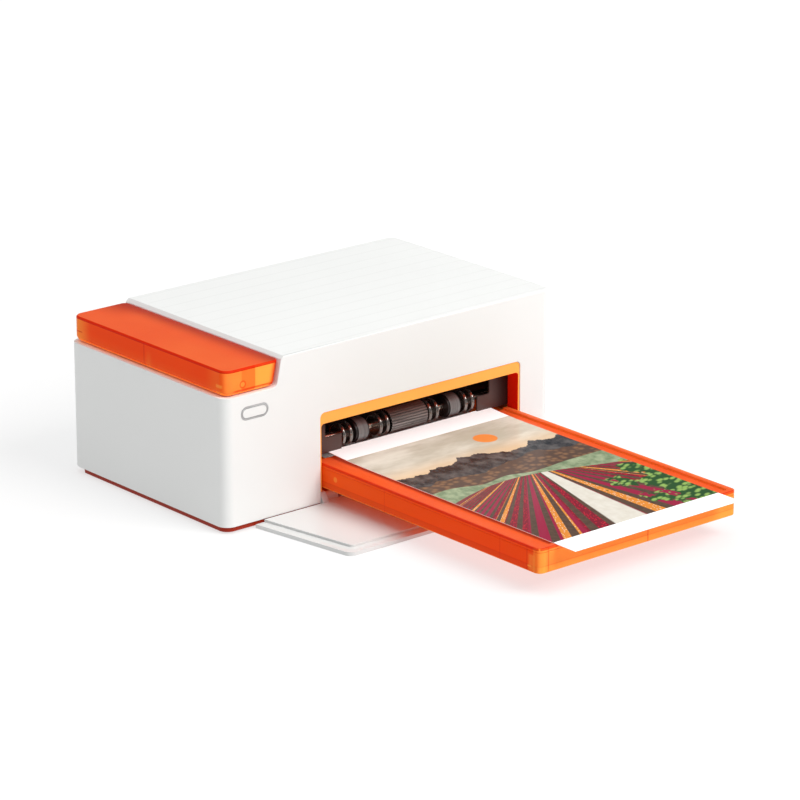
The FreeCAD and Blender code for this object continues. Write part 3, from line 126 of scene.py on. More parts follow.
class PrinterSizes(bpy.types.PropertyGroup):
    """Sizes of the details that are added to the CAD pieces."""
    shell_edge: length("Shell edge", "Width of the white shell's rounded edges", 0.35)
    orange_edge: length("Orange edge", "Width of the orange pieces' rounded edges", 0.45)
    small_edge: length("Small edge", "Width of small pieces' rounded edges", 0.15)
    groove_count: count("Grooves", "Number of grooves across the roof", 12, 2)
    groove_first: length("First groove", "From the front edge to the first groove", 3.3)
    groove_start: length("Groove start", "From the left side to the grooves' ends", 36.5)
    groove_half: length("Groove half", "A little over half the width of a groove", 0.7)
    groove_deep: length("Groove depth", "A little over the depth of a groove", 0.45)
    groove_share: number("Groove share", "Share of the roof grooves' depth that is kept", 0.3,
                         min=0.0, max=1.0)
    panel_gap: length("Panel gap", "Between the cassette's lid and the feed panel", 0.6)
    wall_lean: number("Wall lean", "Slope of the cover's right wall, across over up", 0.213)
    base_recess: length("Base recess", "How far the base's rim stops short of the rear", 7.9)
    flutes: count("Flutes", "Number of flutes round the pick-up roller", 26, 8)
    ring_gap: length("Ring gap", "Distance between the two rings of a pair", 4.3)
    ring_width: length("Ring width", "Width of one guide ring", 2.0)
    ring_inner: length("Inner rings", "From the shaft's middle to an inner pair", 15.2)
    spring_gap: length("Spring gap", "Left between the pressed springs and the head", 0.2)
    tread_core: length("Tread core", "Radius inside which a feed wheel is dark", 5.45)
    tab_length: length("Tab length", "Length of the print's tear-off ends", 14.0)
    print_rise: length("Print rise", "How far the print's rear edge stands up", 1.0)


class PrinterColours(bpy.types.PropertyGroup):
    """Colours of the main finishes, in linear light."""
    shell: triple("Shell", "White of the shell", (0.83, 0.84, 0.83))
    # clear_front, clear_side and clear_top are painted light: one orange as it looks lit from the front, from
    # the side and from above.
    clear_front: triple("Orange front", "Orange of faces turned to the front", (0.95, 0.24, 0.04))
    clear_side: triple("Orange side", "Orange of faces turned sideways", (0.9, 0.062, 0.002))
    clear_top: triple("Orange top", "Orange of faces turned up", (0.74, 0.098, 0.02))
    clear_edge: triple("Orange edge", "Deep red orange where the edges gather light", (0.62, 0.012, 0.001))
    clear_light: triple("Orange light", "Yellow orange where light comes through the wall",
                        (1.0, 0.36, 0.055))
    # Painted shade: laid on the cover's front right beside its notch wall.
    clear_wall_shade: triple("Clear wall", "Clear orange seen through its side wall", (0.5, 0.012, 0.001))
    # Painted shade: laid on the cover's top along its notch wall and toward its hinge, and on the cassette's
    # sides along their foot.
    clear_shade: triple("Orange shade", "Red brown where two walls lie behind each other",
                        (0.3, 0.02, 0.008))
    # Painted light and shade: lintel is the frame's orange on faces turned to the front, jamb on its side
    # walls, which lie in shade.
    lintel: triple("Lintel", "Pale orange of the frame over the opening", (0.96, 0.4, 0.085))
    jamb: triple("Jamb", "Red orange of the frame's side walls", (0.85, 0.015, 0.001))
    base: triple("Base", "Orange of the base plate", (0.32, 0.02, 0.004))
    panel: triple("Feed panel", "Brown grey of the panel behind the opening", (0.045, 0.026, 0.023))
    roller: triple("Rollers", "Near black of the rollers", (0.01, 0.005, 0.005))
    fluted: triple("Fluted roller", "Brown grey of the pick-up roller", (0.19, 0.16, 0.15))
    shine: triple("Ring shine", "Metallic tone of the guide rings", (0.3, 0.27, 0.25))
    band: triple("Wheel bands", "Grey of the bands on the feed wheels", (0.17, 0.16, 0.158))


class PrinterStage(bpy.types.PropertyGroup):
    """Camera and lights."""
    azimuth: number("Azimuth", "Direction of the camera round the printer", math.radians(-40.2),
                    subtype="ANGLE")
    elevation: number("Elevation", "Height of the camera over the horizon", math.radians(18.34),
                      subtype="ANGLE")
    lens: number("Lens", "Focal length in millimetres", 180.0, min=10.0)
    sensor: number("Sensor", "Sensor width in millimetres", 36.0, min=5.0)
    place: triple("Place", "Where the camera stands", (-1.1362, -1.3286, 0.6287), "TRANSLATION")
    world: number("World", "Strength of the even light all round", 0.36, min=0.0)
    key: number("Key", "Power of the large front light in watts", 34.5, min=0.0)
    top: number("Top", "Power of the light overhead in watts", 14.5, min=0.0)
    floor_near: number("Floor near", "Own brightness of the floor round the printer", 0.66, min=0.0)
    floor_far: number("Floor far", "Own brightness of the floor far away", 0.8, min=0.0)


def user_sizes():
    """The sizes in the sidebar."""
    return bpy.context.scene.printer_sizes


def scaled(colour, share):
    """A colour made darker or lighter."""
    return tuple(c * share for c in colour)


def tone(name, share=1.0):
    """A colour in the sidebar, times a share."""
    return scaled(getattr(bpy.context.scene.printer_colours, name), share)


def distance(first, second):
    """Distance from two offsets at right angles."""
    return (first * first + second * second).root()


def new_node(tree, kind, settings, values):
    """A node of a type, with its settings first and then its sockets' values or links."""
    made = tree.nodes.new(kind)
    for label, value in settings.items():
        setattr(made, label, value)
    for label, value in values.items():
        socket = made.inputs[label]
        if isinstance(value, bpy.types.NodeSocket):
            tree.links.new(value, socket)
        else:
            socket.default_value = (*value, 1.0) if socket.type == "RGBA" else value
    return made


def math_method(operation):
    """A method of Wire that makes one Math node."""
    def method(self, *others):
        return self.finish.maths(operation, self, *others)
    return method


class Wire:
    """A number socket of a shader that takes part in Python expressions."""

    def __init__(self, finish, socket):
        self.finish = finish
        self.socket = socket

    __add__ = __radd__ = math_method("ADD")
    __mul__ = __rmul__ = math_method("MULTIPLY")
    __sub__ = math_method("SUBTRACT")
    __truediv__ = math_method("DIVIDE")
    __gt__ = math_method("GREATER_THAN")
    __lt__ = math_method("LESS_THAN")
    __abs__ = math_method("ABSOLUTE")
    fraction = math_method("FRACT")
    sine = math_method("SINE")
    root = math_method("SQRT")
    least = math_method("MINIMUM")
    most = math_method("MAXIMUM")

    def __rsub__(self, other):
        return self.finish.maths("SUBTRACT", other, self)

    def __rtruediv__(self, other):
        return self.finish.maths("DIVIDE", other, self)

    def step(self, start, end):
        """0 below start, 1 above end, smooth between."""
        settings = {"interpolation_type": "SMOOTHSTEP"}
        return self.finish.node("ShaderNodeMapRange", settings, {0: self, 1: start, 2: end})

    def rise(self, start, end):
        """The same step for a length, with both ends in millimetres."""
        return self.step(start * MM, end * MM)

    def fall(self, start, end):
        """1 below start, 0 above end, both in millimetres."""
        return 1 - self.rise(start, end)

    def band(self, at, half, soft):
        """1 within a half width of a place, 0 beyond its soft edge, all in millimetres."""
        return abs(self - at * MM).fall(half, half + soft)


class Finish:
    """A procedural material around one Principled shader."""

    def __init__(self, name, colour=(0.8, 0.8, 0.8), rough=0.5, metal=0.0, **constants):
        self.material = bpy.data.materials.new(name)
        self.material.use_nodes = True
        self.tree = self.material.node_tree
        self.shader = self.tree.nodes["Principled BSDF"]
        self.shader.inputs["Base Color"].default_value = (*colour, 1.0)
        self.shader.inputs["Roughness"].default_value = rough
        self.shader.inputs["Metallic"].default_value = metal
        for label, value in constants.items():
            self.shader.inputs[label.replace("_", " ")].default_value = value
        self.place = self.node("ShaderNodeTexCoord", {}, {}, "Object")
        self.body = colour

    def node(self, kind, settings, values, out=0):
        """One output of a node with its settings and its sockets' values or wires."""
        plain = {label: getattr(value, "socket", value) for label, value in values.items()}
        return Wire(self, new_node(self.tree, kind, settings, plain).outputs[out])

    def feed(self, label, wire):
        """Links a wire to a socket of the shader."""
        self.tree.links.new(wire.socket, self.shader.inputs[label])

    def maths(self, operation, *values):
        """A Math node."""
        return self.node("ShaderNodeMath", {"operation": operation}, dict(enumerate(values)))

    def split(self, vector):
        """The three parts of a vector as numbers."""
        first = self.node("ShaderNodeSeparateXYZ", {}, {0: vector})
        return [Wire(self, socket) for socket in first.socket.node.outputs]

    def axes(self):
        """The three object coordinates as numbers."""
        return self.split(self.place)

    def facing(self):
        """The three parts of the surface's direction as numbers."""
        return self.split(self.node("ShaderNodeTexCoord", {}, {}, "Normal"))

    def vector(self, x, y, z=0.0):
        """Three numbers as a vector."""
        return self.node("ShaderNodeCombineXYZ", {}, {0: x, 1: y, 2: z})

    def noise(self, scale, detail=2.0, rough=0.5, vector=None):
        """Noise from 0 to 1."""
        values = {"Vector": vector or self.place, "Scale": scale, "Detail": detail, "Roughness": rough}
        return self.node("ShaderNodeTexNoise", {}, values, "Fac")

    def lines(self, stretch, detail=2.0):
        """Noise with its own scale along each axis."""
        mapped = self.node("ShaderNodeMapping", {}, {"Vector": self.place, "Scale": stretch})
        return self.noise(1.0, detail, vector=mapped)

    def cells(self, scale, vector=None):
        """Distance to the nearest of scattered points."""
        values = {"Vector": vector or self.place, "Scale": scale}
        return self.node("ShaderNodeTexVoronoi", {}, values, "Distance")

    def mix(self, share, first, second):
        """Two colours mixed by a share."""
        return self.node("ShaderNodeMix", {"data_type": "RGBA"}, {0: share, 6: first, 7: second}, 2)

    def clouded(self, scale, first, second):
        """Two colours in soft clouds."""
        return self.mix(self.noise(scale).step(0.3, 0.7), first, second)

    def paint(self, share, colour):
        """Lays a colour over what is painted so far."""
        self.body = self.mix(share, self.body, colour)

    def colour(self, value):
        """Feeds the base colour."""
        self.feed("Base Color", value)

    def glow(self, value):
        """Feeds the colour of the surface's own light."""
        self.feed("Emission Color", value)

    def rough(self, value):
        """Feeds the roughness."""
        self.feed("Roughness", value)
        return self

    def bump(self, height, deep, strength):
        """Feeds the normal from a height, with its depth in millimetres."""
        values = {"Strength": strength, "Distance": deep * MM, "Height": height}
        self.feed("Normal", self.node("ShaderNodeBump", {}, values))

    def grained(self, grain, least, swing, deep, strength=0.3):
        """Feeds the roughness and the normal from one grain."""
        self.bump(grain, deep, strength)
        return self.rough(least + swing * grain)


def groove_pitch():
    """Distance between the roof's grooves."""
    sizes = user_sizes()
    lo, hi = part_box("outer_shell")
    return (hi.y - lo.y - 2 * sizes.groove_first) / (sizes.groove_count - 1)


def groove_shade_lines(f):
    """Mask of the painted shade in the roof's grooves: 1 in the bottoms of the grooves, 0 beside them."""
    sizes = user_sizes()
    lo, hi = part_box("outer_shell")
    x, y, z = f.axes()
    along = (y - lo.y - sizes.groove_first) / groove_pitch() + 0.5
    off = abs(along.fraction() - 0.5) * groove_pitch()
    on_roof = (z > hi.z - sizes.groove_deep) * (x > lo.x + sizes.groove_start) * (f.facing()[2] > 0.9)
    return (1 - off.step(0.15 * MM, sizes.groove_half)) * on_roof


def shell_finish():
    """White satin plastic with a fine moulded grain, and painted shade that makes the bottoms of the roof's
    grooves a little darker.
    """
    f = Finish("shell_white", rough=0.45, Specular_IOR_Level=0.45)
    plain = f.clouded(14.0, tone("shell"), tone("shell", 0.985))
    # Painted shade: the bottoms of the roof's grooves are 5% darker.
    f.colour(f.mix(groove_shade_lines(f) * 0.05, plain, BLACK))
    return f.grained(f.noise(1800.0, 3.0), least=0.4, swing=0.1, deep=0.02, strength=0.35)


def smooth_white_finish(name, shade):
    """Slightly glossier white of the flap and the button: the shell's white times a share, which for the flap
    is painted shade.
    """
    f = Finish(name, tone("shell", shade), 0.3, Specular_IOR_Level=0.4)
    return f.grained(f.noise(1200.0), least=0.26, swing=0.1, deep=0.01)


def orange_start(name):
    """Frosted clear orange: a soft gloss, light that spreads inside, and painted light, in that faces turned
    to the front, sideways and up each get their own orange, the front ones lightest.
    """
    f = Finish(name, rough=0.3, IOR=1.3, Specular_IOR_Level=0.1, Subsurface_Weight=0.1,
               Subsurface_Scale=3 * MM, Subsurface_Radius=(1.0, 0.25, 0.05), Emission_Strength=1.0)
    _, ny, nz = f.facing()
    f.front = (0 - ny).step(0.25, 0.85)
    f.up = abs(nz).step(0.3, 0.9)
    f.under = (0 - nz).step(0.3, 0.9)
    f.rim = nz.step(0.12, 0.3) * (1 - nz.step(0.86, 0.97))
    f.side = (1 - f.front) * (1 - f.up)
    # Painted light: the colour follows the direction a face turns, lightest on faces turned to the front.
    f.body = f.mix(f.front, tone("clear_side"), tone("clear_front"))
    f.paint(f.up, tone("clear_top"))
    return f


def orange_end(f, more=0.0, less=0.0):
    """Feeds the colour with its faint clouds, its painted glow and a fine frosting."""
    streaks = f.lines((30.0, 12.0, 160.0))
    depth = (f.noise(38.0) * 0.6 + streaks * 0.4).step(0.3, 0.72)
    f.paint((0.1 + 0.1 * f.up) * depth, tone("clear_edge"))
    f.colour(f.body)
    # Painted light: the orange glows in its own colour, more on faces turned to the front and most on
    # undersides.
    glow = 0.05 + 0.15 * f.front + 0.35 * f.under + more - less
    f.glow(f.mix(glow, BLACK, f.body))
    return f.grained(f.noise(1500.0), least=0.24, swing=0.12, deep=0.006)


def cover_finish():
    """Orange of the top cover, with its inner ribs and boss faintly showing through, painted light in glows
    and glints, and painted shade along its notch wall and toward its hinge.
    """
    light, edge, shade = tone("clear_light"), tone("clear_edge"), tone("clear_shade")
    f = orange_start("cover_orange")
    lo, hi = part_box("ribbon_cover")
    x, y, z = f.axes()
    left_side = f.side * (x < lo.x + 4 * MM)
    right_in = hi.x - x
    wall_in = right_in - (hi.z - z) * user_sizes().wall_lean
    front_in = y - lo.y
    above = z - lo.z
    # On the front: a redder band 14 to 21 mm from the right end, painted light in a yellow glow 3 to 14 mm
    # off the notch wall, and painted shade in dark red right beside that wall.
    f.paint(f.front * right_in.band(17.4, 3.6, 1.2) * 0.36, tone("clear_side"))
    glow = right_in.fall(13.5, 14.2) * wall_in.rise(2.6, 4.8)
    f.paint(f.front * glow * 0.85, light)
    f.paint(f.front * wall_in.fall(1.2, 4.0) * 0.95, tone("clear_wall_shade"))
    low_line = above.band(1.9, 0.3, 0.5) * right_in.fall(24, 28)
    f.paint(f.front * low_line * 0.6, edge)
    # Painted light: the left side is lighter toward the front.
    f.paint(left_side * front_in.fall(6, 16) * 0.16, light)
    boss_off = distance(right_in - 21.0 * MM, above - 4.6 * MM)
    f.paint(f.front * boss_off.band(1.5, 0.2, 0.35) * 0.5, edge)
    f.paint(f.front * boss_off.fall(0.9, 1.3) * 0.35, light)
    rib = front_in.band(60.5, 0.25, 0.5) * above.rise(0.6, 1.4)
    f.paint(left_side * rib * 0.42, edge)
    # Painted light on the left side: beside the inner rib, toward the bottom and toward the rear.
    pale = front_in.band(57.0, 0.2, 3.0) * above.fall(5, 10)
    f.paint(left_side * pale * 0.14, light)
    f.paint(left_side * above.fall(1.0, 6.5) * 0.1, light)
    f.paint(left_side * front_in.rise(101, 112) * 0.55, light)
    tick = above.band(5.2, 0.15, 0.3) * front_in.rise(108, 109.5)
    f.paint(left_side * tick * 0.7, edge)
    # Painted glints at the snaps on the left side, near the front.
    snap_glints = above.band(4.6, 0.25, 0.9).most(above.band(1.4, 0.2, 0.6))
    f.paint(left_side * front_in.band(4.6, 1.6, 0.8) * snap_glints * 0.6, light)
    # Painted light: a bright band along the lower edge, which also glows more.
    hem_glow = (1 - f.up.least(1 - f.under)) * above.fall(0.7, 1.4)
    f.paint(hem_glow * 0.6, light)
    # Painted light: the top is a little lighter toward the front, away from the notch wall.
    fore_light = front_in.fall(8, 92) * right_in.rise(8, 20)
    f.paint(f.up * fore_light * 0.07, light)
    wall_shade = right_in.fall(0.4, 15.0)
    f.paint(f.up * wall_shade * wall_shade * 0.9, shade)
    hinge_shade = front_in.rise(92, 114) * right_in.fall(6, 22)
    f.paint(f.up * hinge_shade * 0.55, shade)
    rear_end = left_side * (front_in > hi.y - lo.y - 2.4 * MM)
    lip = f.rim.most((1 - f.up) * (hi.z - z < 1.2 * MM)).most(rear_end * 0.8)
    f.paint(lip * (above > 1 * MM) * 0.9, edge)
    return orange_end(f, hem_glow * 0.5, lip * f.front * 0.12)


def tray_finish():
    """Orange of the cassette: painted shade in a band along its foot, seams, and painted light along its
    lower edge and at its corners.
    """
    light, edge = tone("clear_light"), tone("clear_edge")
    f = orange_start("cassette_orange")
    lo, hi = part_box("cassette_base")
    x, y, z = f.axes()
    above = z - lo.z
    front_in = y - lo.y
    left_in = x - lo.x
    right_in = hi.x - x
    outer = left_in.least(right_in).least(front_in)
    upright = 1 - f.up
    foot = above.fall(3.0, 3.3)
    # Painted light: the sides grow lighter toward the rear.
    f.paint(f.side * front_in.rise(20, 150) * 0.1, light)
    # Painted shade: a darker band along the foot of the sides.
    f.paint(f.side * foot * 0.18, tone("clear_shade"))
    f.paint(upright * above.band(3.2, 0.15, 0.3) * 0.3, edge)
    # Painted light: the front's foot band is lighter, and a bright line runs along the bottom of every
    # upright face.
    f.paint(f.front * foot * 0.5, light)
    f.paint(upright * above.fall(0.2, 0.7) * 0.6, light)
    seams = front_in.band(25.8, 0.15, 0.3).most(front_in.band(104.5, 0.15, 0.3))
    f.paint(f.side * seams * 0.28, edge)
    f.paint(f.front * left_in.band(65.0, 0.2, 0.35) * 0.55, edge)
    f.paint(f.front * left_in.rise(65, 65.6) * 0.16, light)
    boss_off = distance(front_in - 139.5 * MM, above - 6.2 * MM)
    f.paint(f.side * boss_off.fall(0.9, 1.6) * 0.5, light)
    # Painted highlight: a pale patch on the sides near the front corner.
    corner_glint = front_in.band(5.0, 0.8, 2.2) * above.band(4.4, 3.0, 1.5)
    f.paint(f.side * corner_glint * 0.35, light)
    corner = left_in.band(5.4, 0.2, 0.4).most(front_in.band(8.0, 0.15, 0.4))
    f.paint(upright * corner * 0.4, edge)
    hook = front_in.band(6.4, 1.0, 0.3) * above.band(2.6, 0.25, 0.3)
    f.paint(f.side * hook * 0.6, light)
    # Painted highlight down the rounded front-left corner.
    corner_highlight = left_in.fall(3.4, 4.6) * front_in.fall(3.4, 4.6)
    f.paint(upright * corner_highlight * 0.35, light)
    rim = outer.fall(0.5, 0.9) * (z > high("cassette_lid").z - 1.1 * MM)
    f.paint(rim * 0.7, edge)
    # Painted light: on the top of the right rim, and the bright front orange on side faces more than 2 mm in
    # from the outer edge, which lifts their shade.
    f.paint(f.up * right_in.fall(1.0, 1.8) * 0.3, light)
    f.paint(f.side * outer.rise(1.5, 2.0) * 0.8, tone("clear_front"))
    right_turn = right_in.fall(0.5, 1.1).most(outer.fall(0.4, 0.8) * f.up)
    f.paint(right_turn * front_in.fall(14, 30) * left_in.rise(90, 100) * 0.7, edge)
    return orange_end(f)


def frame_finish():
    """Orange of the opening's frame, in painted light and shade: a pale lintel on faces turned to the front,
    red on its side walls, which lie in shade.
    """
    f = orange_start("frame_orange")
    x, y, z = f.axes()
    # Painted light on faces turned to the front, painted shade on the side walls; the front is palest in a
    # thin rim along its top.
    f.paint(f.front, tone("lintel"))
    f.paint(f.side, tone("jamb"))
    rim = f.front * (high("opening_frame").z - z).rise(0.3, 1.1)
    f.paint(f.front * 0.35 * (1 - rim), tone("clear_front"))
    return orange_end(f)


def orange_edge_finish():
    """Edges of the orange pieces, which gather light and look deep red, with a faint painted glow."""
    edge = tone("clear_edge")
    f = Finish("orange_edge", edge, 0.25, Specular_IOR_Level=0.3, Emission_Strength=0.22)
    shown = f.clouded(60.0, edge, (edge[0] * 1.1, edge[1] * 1.9, edge[2] * 2))
    f.colour(shown)
    # Painted light: the edges glow faintly in their own red.
    f.glow(shown)
    return f.rough(0.2 + 0.1 * f.noise(700.0))


def base_finish():
    """Moulded orange of the base plate."""
    f = Finish("base_orange", tone("base"), 0.45, Specular_IOR_Level=0.2)
    return f.grained(f.noise(1500.0), least=0.4, swing=0.12, deep=0.02)


def panel_finish():
    """Brown grey panel with a faint upright sheen."""
    f = Finish("feed_panel_brown", rough=0.38, metal=0.2, Specular_IOR_Level=0.3)
    x, y, z = f.axes()
    inwards = (high("feed_panel").x - x).rise(4, 14)
    f.colour(f.mix(inwards * 0.7 + f.noise(40.0) * 0.3, tone("panel", 0.35), tone("panel", 2.2)))
    return f.grained(f.lines((2200.0, 2200.0, 90.0)), least=0.32, swing=0.14, deep=0.01)


def dark_finish(name, colour, rough):
    """Moulded plastic or rubber with a grain."""
    f = Finish(name, colour, rough)
    f.colour(f.clouded(90.0, colour, scaled(colour, 1.35)))
    return f.grained(f.noise(1400.0, 3.0), least=rough - 0.06, swing=0.12, deep=0.02, strength=0.4)


def tread_finish(name, node, colour, core, rough, stretch, metal=0.0):
    """Roller whose tread has fine lines round or along it, and whose ends and core are darker."""
    f = Finish(name, colour, rough, metal)
    x, y, z = f.axes()
    at = middle(node)
    off = distance(y - at.y, z - at.z)
    lines = f.lines(stretch, 3.0)
    tread = f.mix(lines.step(0.25, 0.75), scaled(colour, 0.7), scaled(colour, 1.25))
    f.colour(f.mix(abs(f.facing()[0]).step(0.5, 0.9).most(off < core), tread, tone("roller")))
    return f.grained(lines, least=rough - 0.05, swing=0.12, deep=0.01, strength=0.35)


def ring_finish():
    """Polished black of the guide rings, with faint turning lines."""
    f = Finish("ring_black", tone("roller"), 0.1, 0.85, Specular_IOR_Level=0.55)
    f.colour(f.clouded(120.0, tone("shine", 0.7), tone("shine")))
    return f.rough(0.1 + 0.08 * f.lines((2600.0, 60.0, 60.0)))


def metal_finish(name, colour, rough, stretch=(60.0, 1800.0, 1800.0)):
    """Metal drawn or turned along X, with fine lines."""
    f = Finish(name, colour, rough, 1.0)
    f.colour(f.clouded(45.0, colour, scaled(colour, 0.86)))
    return f.grained(f.lines(stretch, 3.0), least=rough - 0.07, swing=0.16, deep=0.008, strength=0.35)


def board_finish():
    """Green circuit board with traces and gilt pads."""
    f = Finish("circuit_board", rough=0.35)
    green, trace, gold = (0.012, 0.12, 0.05), (0.03, 0.24, 0.1), (0.72, 0.6, 0.32)
    along = f.lines((900.0, 60.0, 1.0), 0.0)
    across = f.lines((60.0, 900.0, 1.0), 0.0)
    traces = (along > 0.58).most(across > 0.6)
    pads = f.cells(420.0) < 0.22
    f.colour(f.mix(pads, f.mix(traces, green, trace), gold))
    f.bump(traces.most(pads), 0.03, 0.5)
    return f.rough(0.38 - 0.12 * traces)


def film_finish():
    """Dye ribbon: yellow, magenta and blue panels along the web."""
    f = Finish("dye_ribbon", rough=0.25, Transmission_Weight=0.2)
    yellow, magenta, blue = (0.75, 0.62, 0.05), (0.6, 0.05, 0.2), (0.05, 0.2, 0.5)
    x, y, z = f.axes()
    warm = f.mix((y * 95.0).sine().step(-0.2, 0.2), yellow, magenta)
    f.colour(f.mix((y * 47.0).sine().step(0.3, 0.5), warm, blue))
    return f.rough(0.22 + 0.1 * f.noise(300.0))


def paper_finish():
    """Glossy white photo paper."""
    f = Finish("photo_paper", (0.88, 0.88, 0.875), 0.3, Specular_IOR_Level=0.5)
    f.colour(f.mix(f.noise(25.0), (0.9, 0.9, 0.895), (0.86, 0.865, 0.86)))
    return f.grained(f.noise(2600.0), least=0.26, swing=0.1, deep=0.005)


def skyline(f, u, scale, detail, rough=0.5):
    """An uneven height for each place across the picture."""
    return f.noise(scale, detail, rough, f.vector(u, 0.0))


def ground(v, line, soft=0.005):
    """1 under a line in the picture, 0 over it."""
    return 1 - (v - line).step(0.0, soft)


def picture_finish(corner, size, tab):
    """Print: white tear-off ends and a made-up landscape of hills and a field of flowers between them."""
    clouds = (0.5, 0.44, 0.35), (0.74, 0.69, 0.6)
    low_sky, sun = (0.72, 0.5, 0.3), (0.8, 0.25, 0.06)
    rocks = (0.012, 0.014, 0.02), (0.11, 0.1, 0.1)
    woods = (0.24, 0.12, 0.06), (0.09, 0.05, 0.035)
    meadows = (0.15, 0.21, 0.11), (0.36, 0.42, 0.26)
    reds, plum = ((0.6, 0.012, 0.03), (0.2, 0.004, 0.02)), (0.3, 0.008, 0.045)
    creams = (0.75, 0.66, 0.5), (0.7, 0.24, 0.03)
    soils = (0.04, 0.02, 0.015), (0.14, 0.08, 0.05)
    gravels = (0.6, 0.55, 0.46), (0.8, 0.77, 0.7)
    greens = (0.26, 0.42, 0.1), (0.015, 0.07, 0.015)
    f = Finish("printed_picture", rough=0.2, IOR=1.3, Specular_IOR_Level=0.15, Emission_Strength=0.16)
    x, y, z = f.axes()
    u = (x - corner.x) / size.x
    v = (y - (corner.y + tab)) / (size.y - 2 * tab)
    flat = f.vector(u, v)
    cloud = f.noise(3.2, 4.0, 0.6, f.vector(u * 0.7, v * 2.6))
    f.body = f.mix(v.step(0.7, 0.86), low_sky, f.mix(cloud.step(0.35, 0.7), *clouds))
    sun_off = distance(u - 0.7, (v - 0.88) * math.sqrt(2))
    f.paint(1 - sun_off.step(0.055, 0.062), sun)
    rock = f.mix(f.noise(16.0, 5.0, 0.6, flat).step(0.35, 0.7), *rocks)
    f.paint(ground(v, 0.6 + 0.3 * skyline(f, u, 3.4, 6.0, 0.55), 0.004), rock)
    wood = f.mix(f.cells(26.0, f.vector(u, v * 1.6)).step(0.1, 0.6), *woods)
    f.paint(ground(v, 0.5 + 0.28 * skyline(f, u + 3.0, 2.3, 3.0)), wood)
    meadow = f.mix(f.noise(22.0, 4.0, 0.6, flat).step(0.3, 0.7), *meadows)
    f.paint(ground(v, 0.42 + 0.24 * skyline(f, u + 7.0, 1.6, 2.0)), meadow)
    fan = (u - 0.62) / (0.62 - v)
    bloom = f.cells(60.0, f.vector(fan * 0.9, v * 1.3))
    flowers = f.mix(bloom.step(0.1, 0.5), *reds)
    flowers = f.mix((fan * 5.0).sine().step(0.1, 0.3), flowers, plum)
    cream = f.mix(bloom.step(0.2, 0.3), *creams)
    flowers = f.mix((fan * 7.3 + 1.2).sine().step(0.78, 0.82), flowers, cream)
    soil = f.mix(f.noise(40.0, 3.0, 0.6, flat), *soils)
    rows = f.mix((fan * 34.0).sine().step(-0.35, -0.1), soil, flowers)
    gravel = f.mix(f.noise(30.0, 3.0, 0.5, flat), *gravels)
    rows = f.mix(1 - abs(fan + 0.25).step(0.14, 0.16), rows, gravel)
    f.paint(ground(v, 0.46 + 0.06 * (u * 4.0).sine()), rows)
    leaf_off = distance(u - 0.96, v - 0.14)
    leaf = (f.noise(9.0, 3.0, 0.6, flat) - leaf_off * 1.1).step(0.26, 0.3)
    blade = f.cells(30.0, f.vector(u * 0.6 + v * 0.5, v * 1.6 - u * 0.5))
    f.paint(leaf, f.mix(blade.step(0.25, 0.6), *greens))
    inside = (v > 0.0) * (v < 1.0) * (f.facing()[2] > 0.5)
    f.colour(f.mix(inside, (0.9, 0.9, 0.9), f.body))
    # Painted light: the tear-off ends and the sheet's edges glow white, so that they stay white in the
    # housing's shade.
    f.glow(f.mix(inside, (1.0, 1.0, 1.0), BLACK))
    return f.rough(0.16 + 0.08 * f.noise(900.0))


def add_object(name, data):
    """A new object in the scene."""
    made = bpy.data.objects.new(name, data)
    bpy.context.scene.collection.objects.link(made)
    return made


def plain_mesh(made, name):
    """The mesh of a bmesh."""
    mesh = bpy.data.meshes.new(name + "_mesh")
    made.to_mesh(mesh)
    made.free()
    return mesh


def applied_mesh(holder, name):
    """The plain mesh that an object's modifiers make."""
    bpy.context.view_layer.update()
    ready = holder.evaluated_get(bpy.context.evaluated_depsgraph_get())
    mesh = bpy.data.meshes.new_from_object(ready)
    mesh.name = name
    return mesh


def weld(mesh):
    """A bmesh of a CAD mesh with its loose triangles joined and its flat faces whole."""
    made = bmesh.new()
    made.from_mesh(mesh)
    bmesh.ops.remove_doubles(made, verts=made.verts, dist=SAME_POINT)
    bmesh.ops.dissolve_limit(made, angle_limit=FLAT_ENOUGH, verts=made.verts, edges=made.edges)
    return made


def round_edges(made, width, segments, edge_index, crisp_above):
    """Rounds the sharp edges that are long enough for the width and not above a height."""
    edges = []
    long_enough = 0.4 * width
    for e in made.edges:
        if min(v.co.z for v in e.verts) > crisp_above or len(e.link_faces) != 2:
            continue
        if e.calc_face_angle() > SHARP_EDGE and e.calc_length() > long_enough:
            edges.append(e)
    bmesh.ops.bevel(made, geom=edges, offset=width, offset_type="OFFSET", segments=segments, profile=0.5,
                    affect="EDGES", clamp_overlap=False, material=edge_index)


def even_shade(piece):
    """Straightens the shading normals of flat faces, so that only rounded edges are graded."""
    modifier = piece.modifiers.new("weights", "WEIGHTED_NORMAL")
    modifier.keep_sharp = True
    mesh = applied_mesh(piece, piece.data.name)
    piece.modifiers.clear()
    piece.data = mesh


def add_piece(name, mesh, finishes, node):
    """Links a finished mesh, and makes it ride on its body in place of a CAD node."""
    mesh.materials.clear()
    for finish in finishes:
        mesh.materials.append(finish.material)
    mesh.shade_smooth()
    mesh.set_sharp_from_angle(angle=SHARP_SHADING)
    piece = add_object(name, mesh)
    even_shade(piece)
    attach(piece, frame["nodes"][node]["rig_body"])
    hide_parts(node)
    return piece


def press_springs(piece):
    """Works out how far the leaf springs under the top beam would give way as the head lifts, and gives the
    piece a mesh of its own; the springs are not moved.
    """
    lo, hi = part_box("head_springs")
    joint = next(row for row in frame["record"]["behaviour"]["joints"] if row["name"] == "head_lift")
    lift = (joint["pos_m"][1] - lo.y) * math.sin(math.radians(joint["range_deg"][1]))
    keep = 1 - (lift + user_sizes().spring_gap) / (hi.z - lo.z)
    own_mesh(piece)


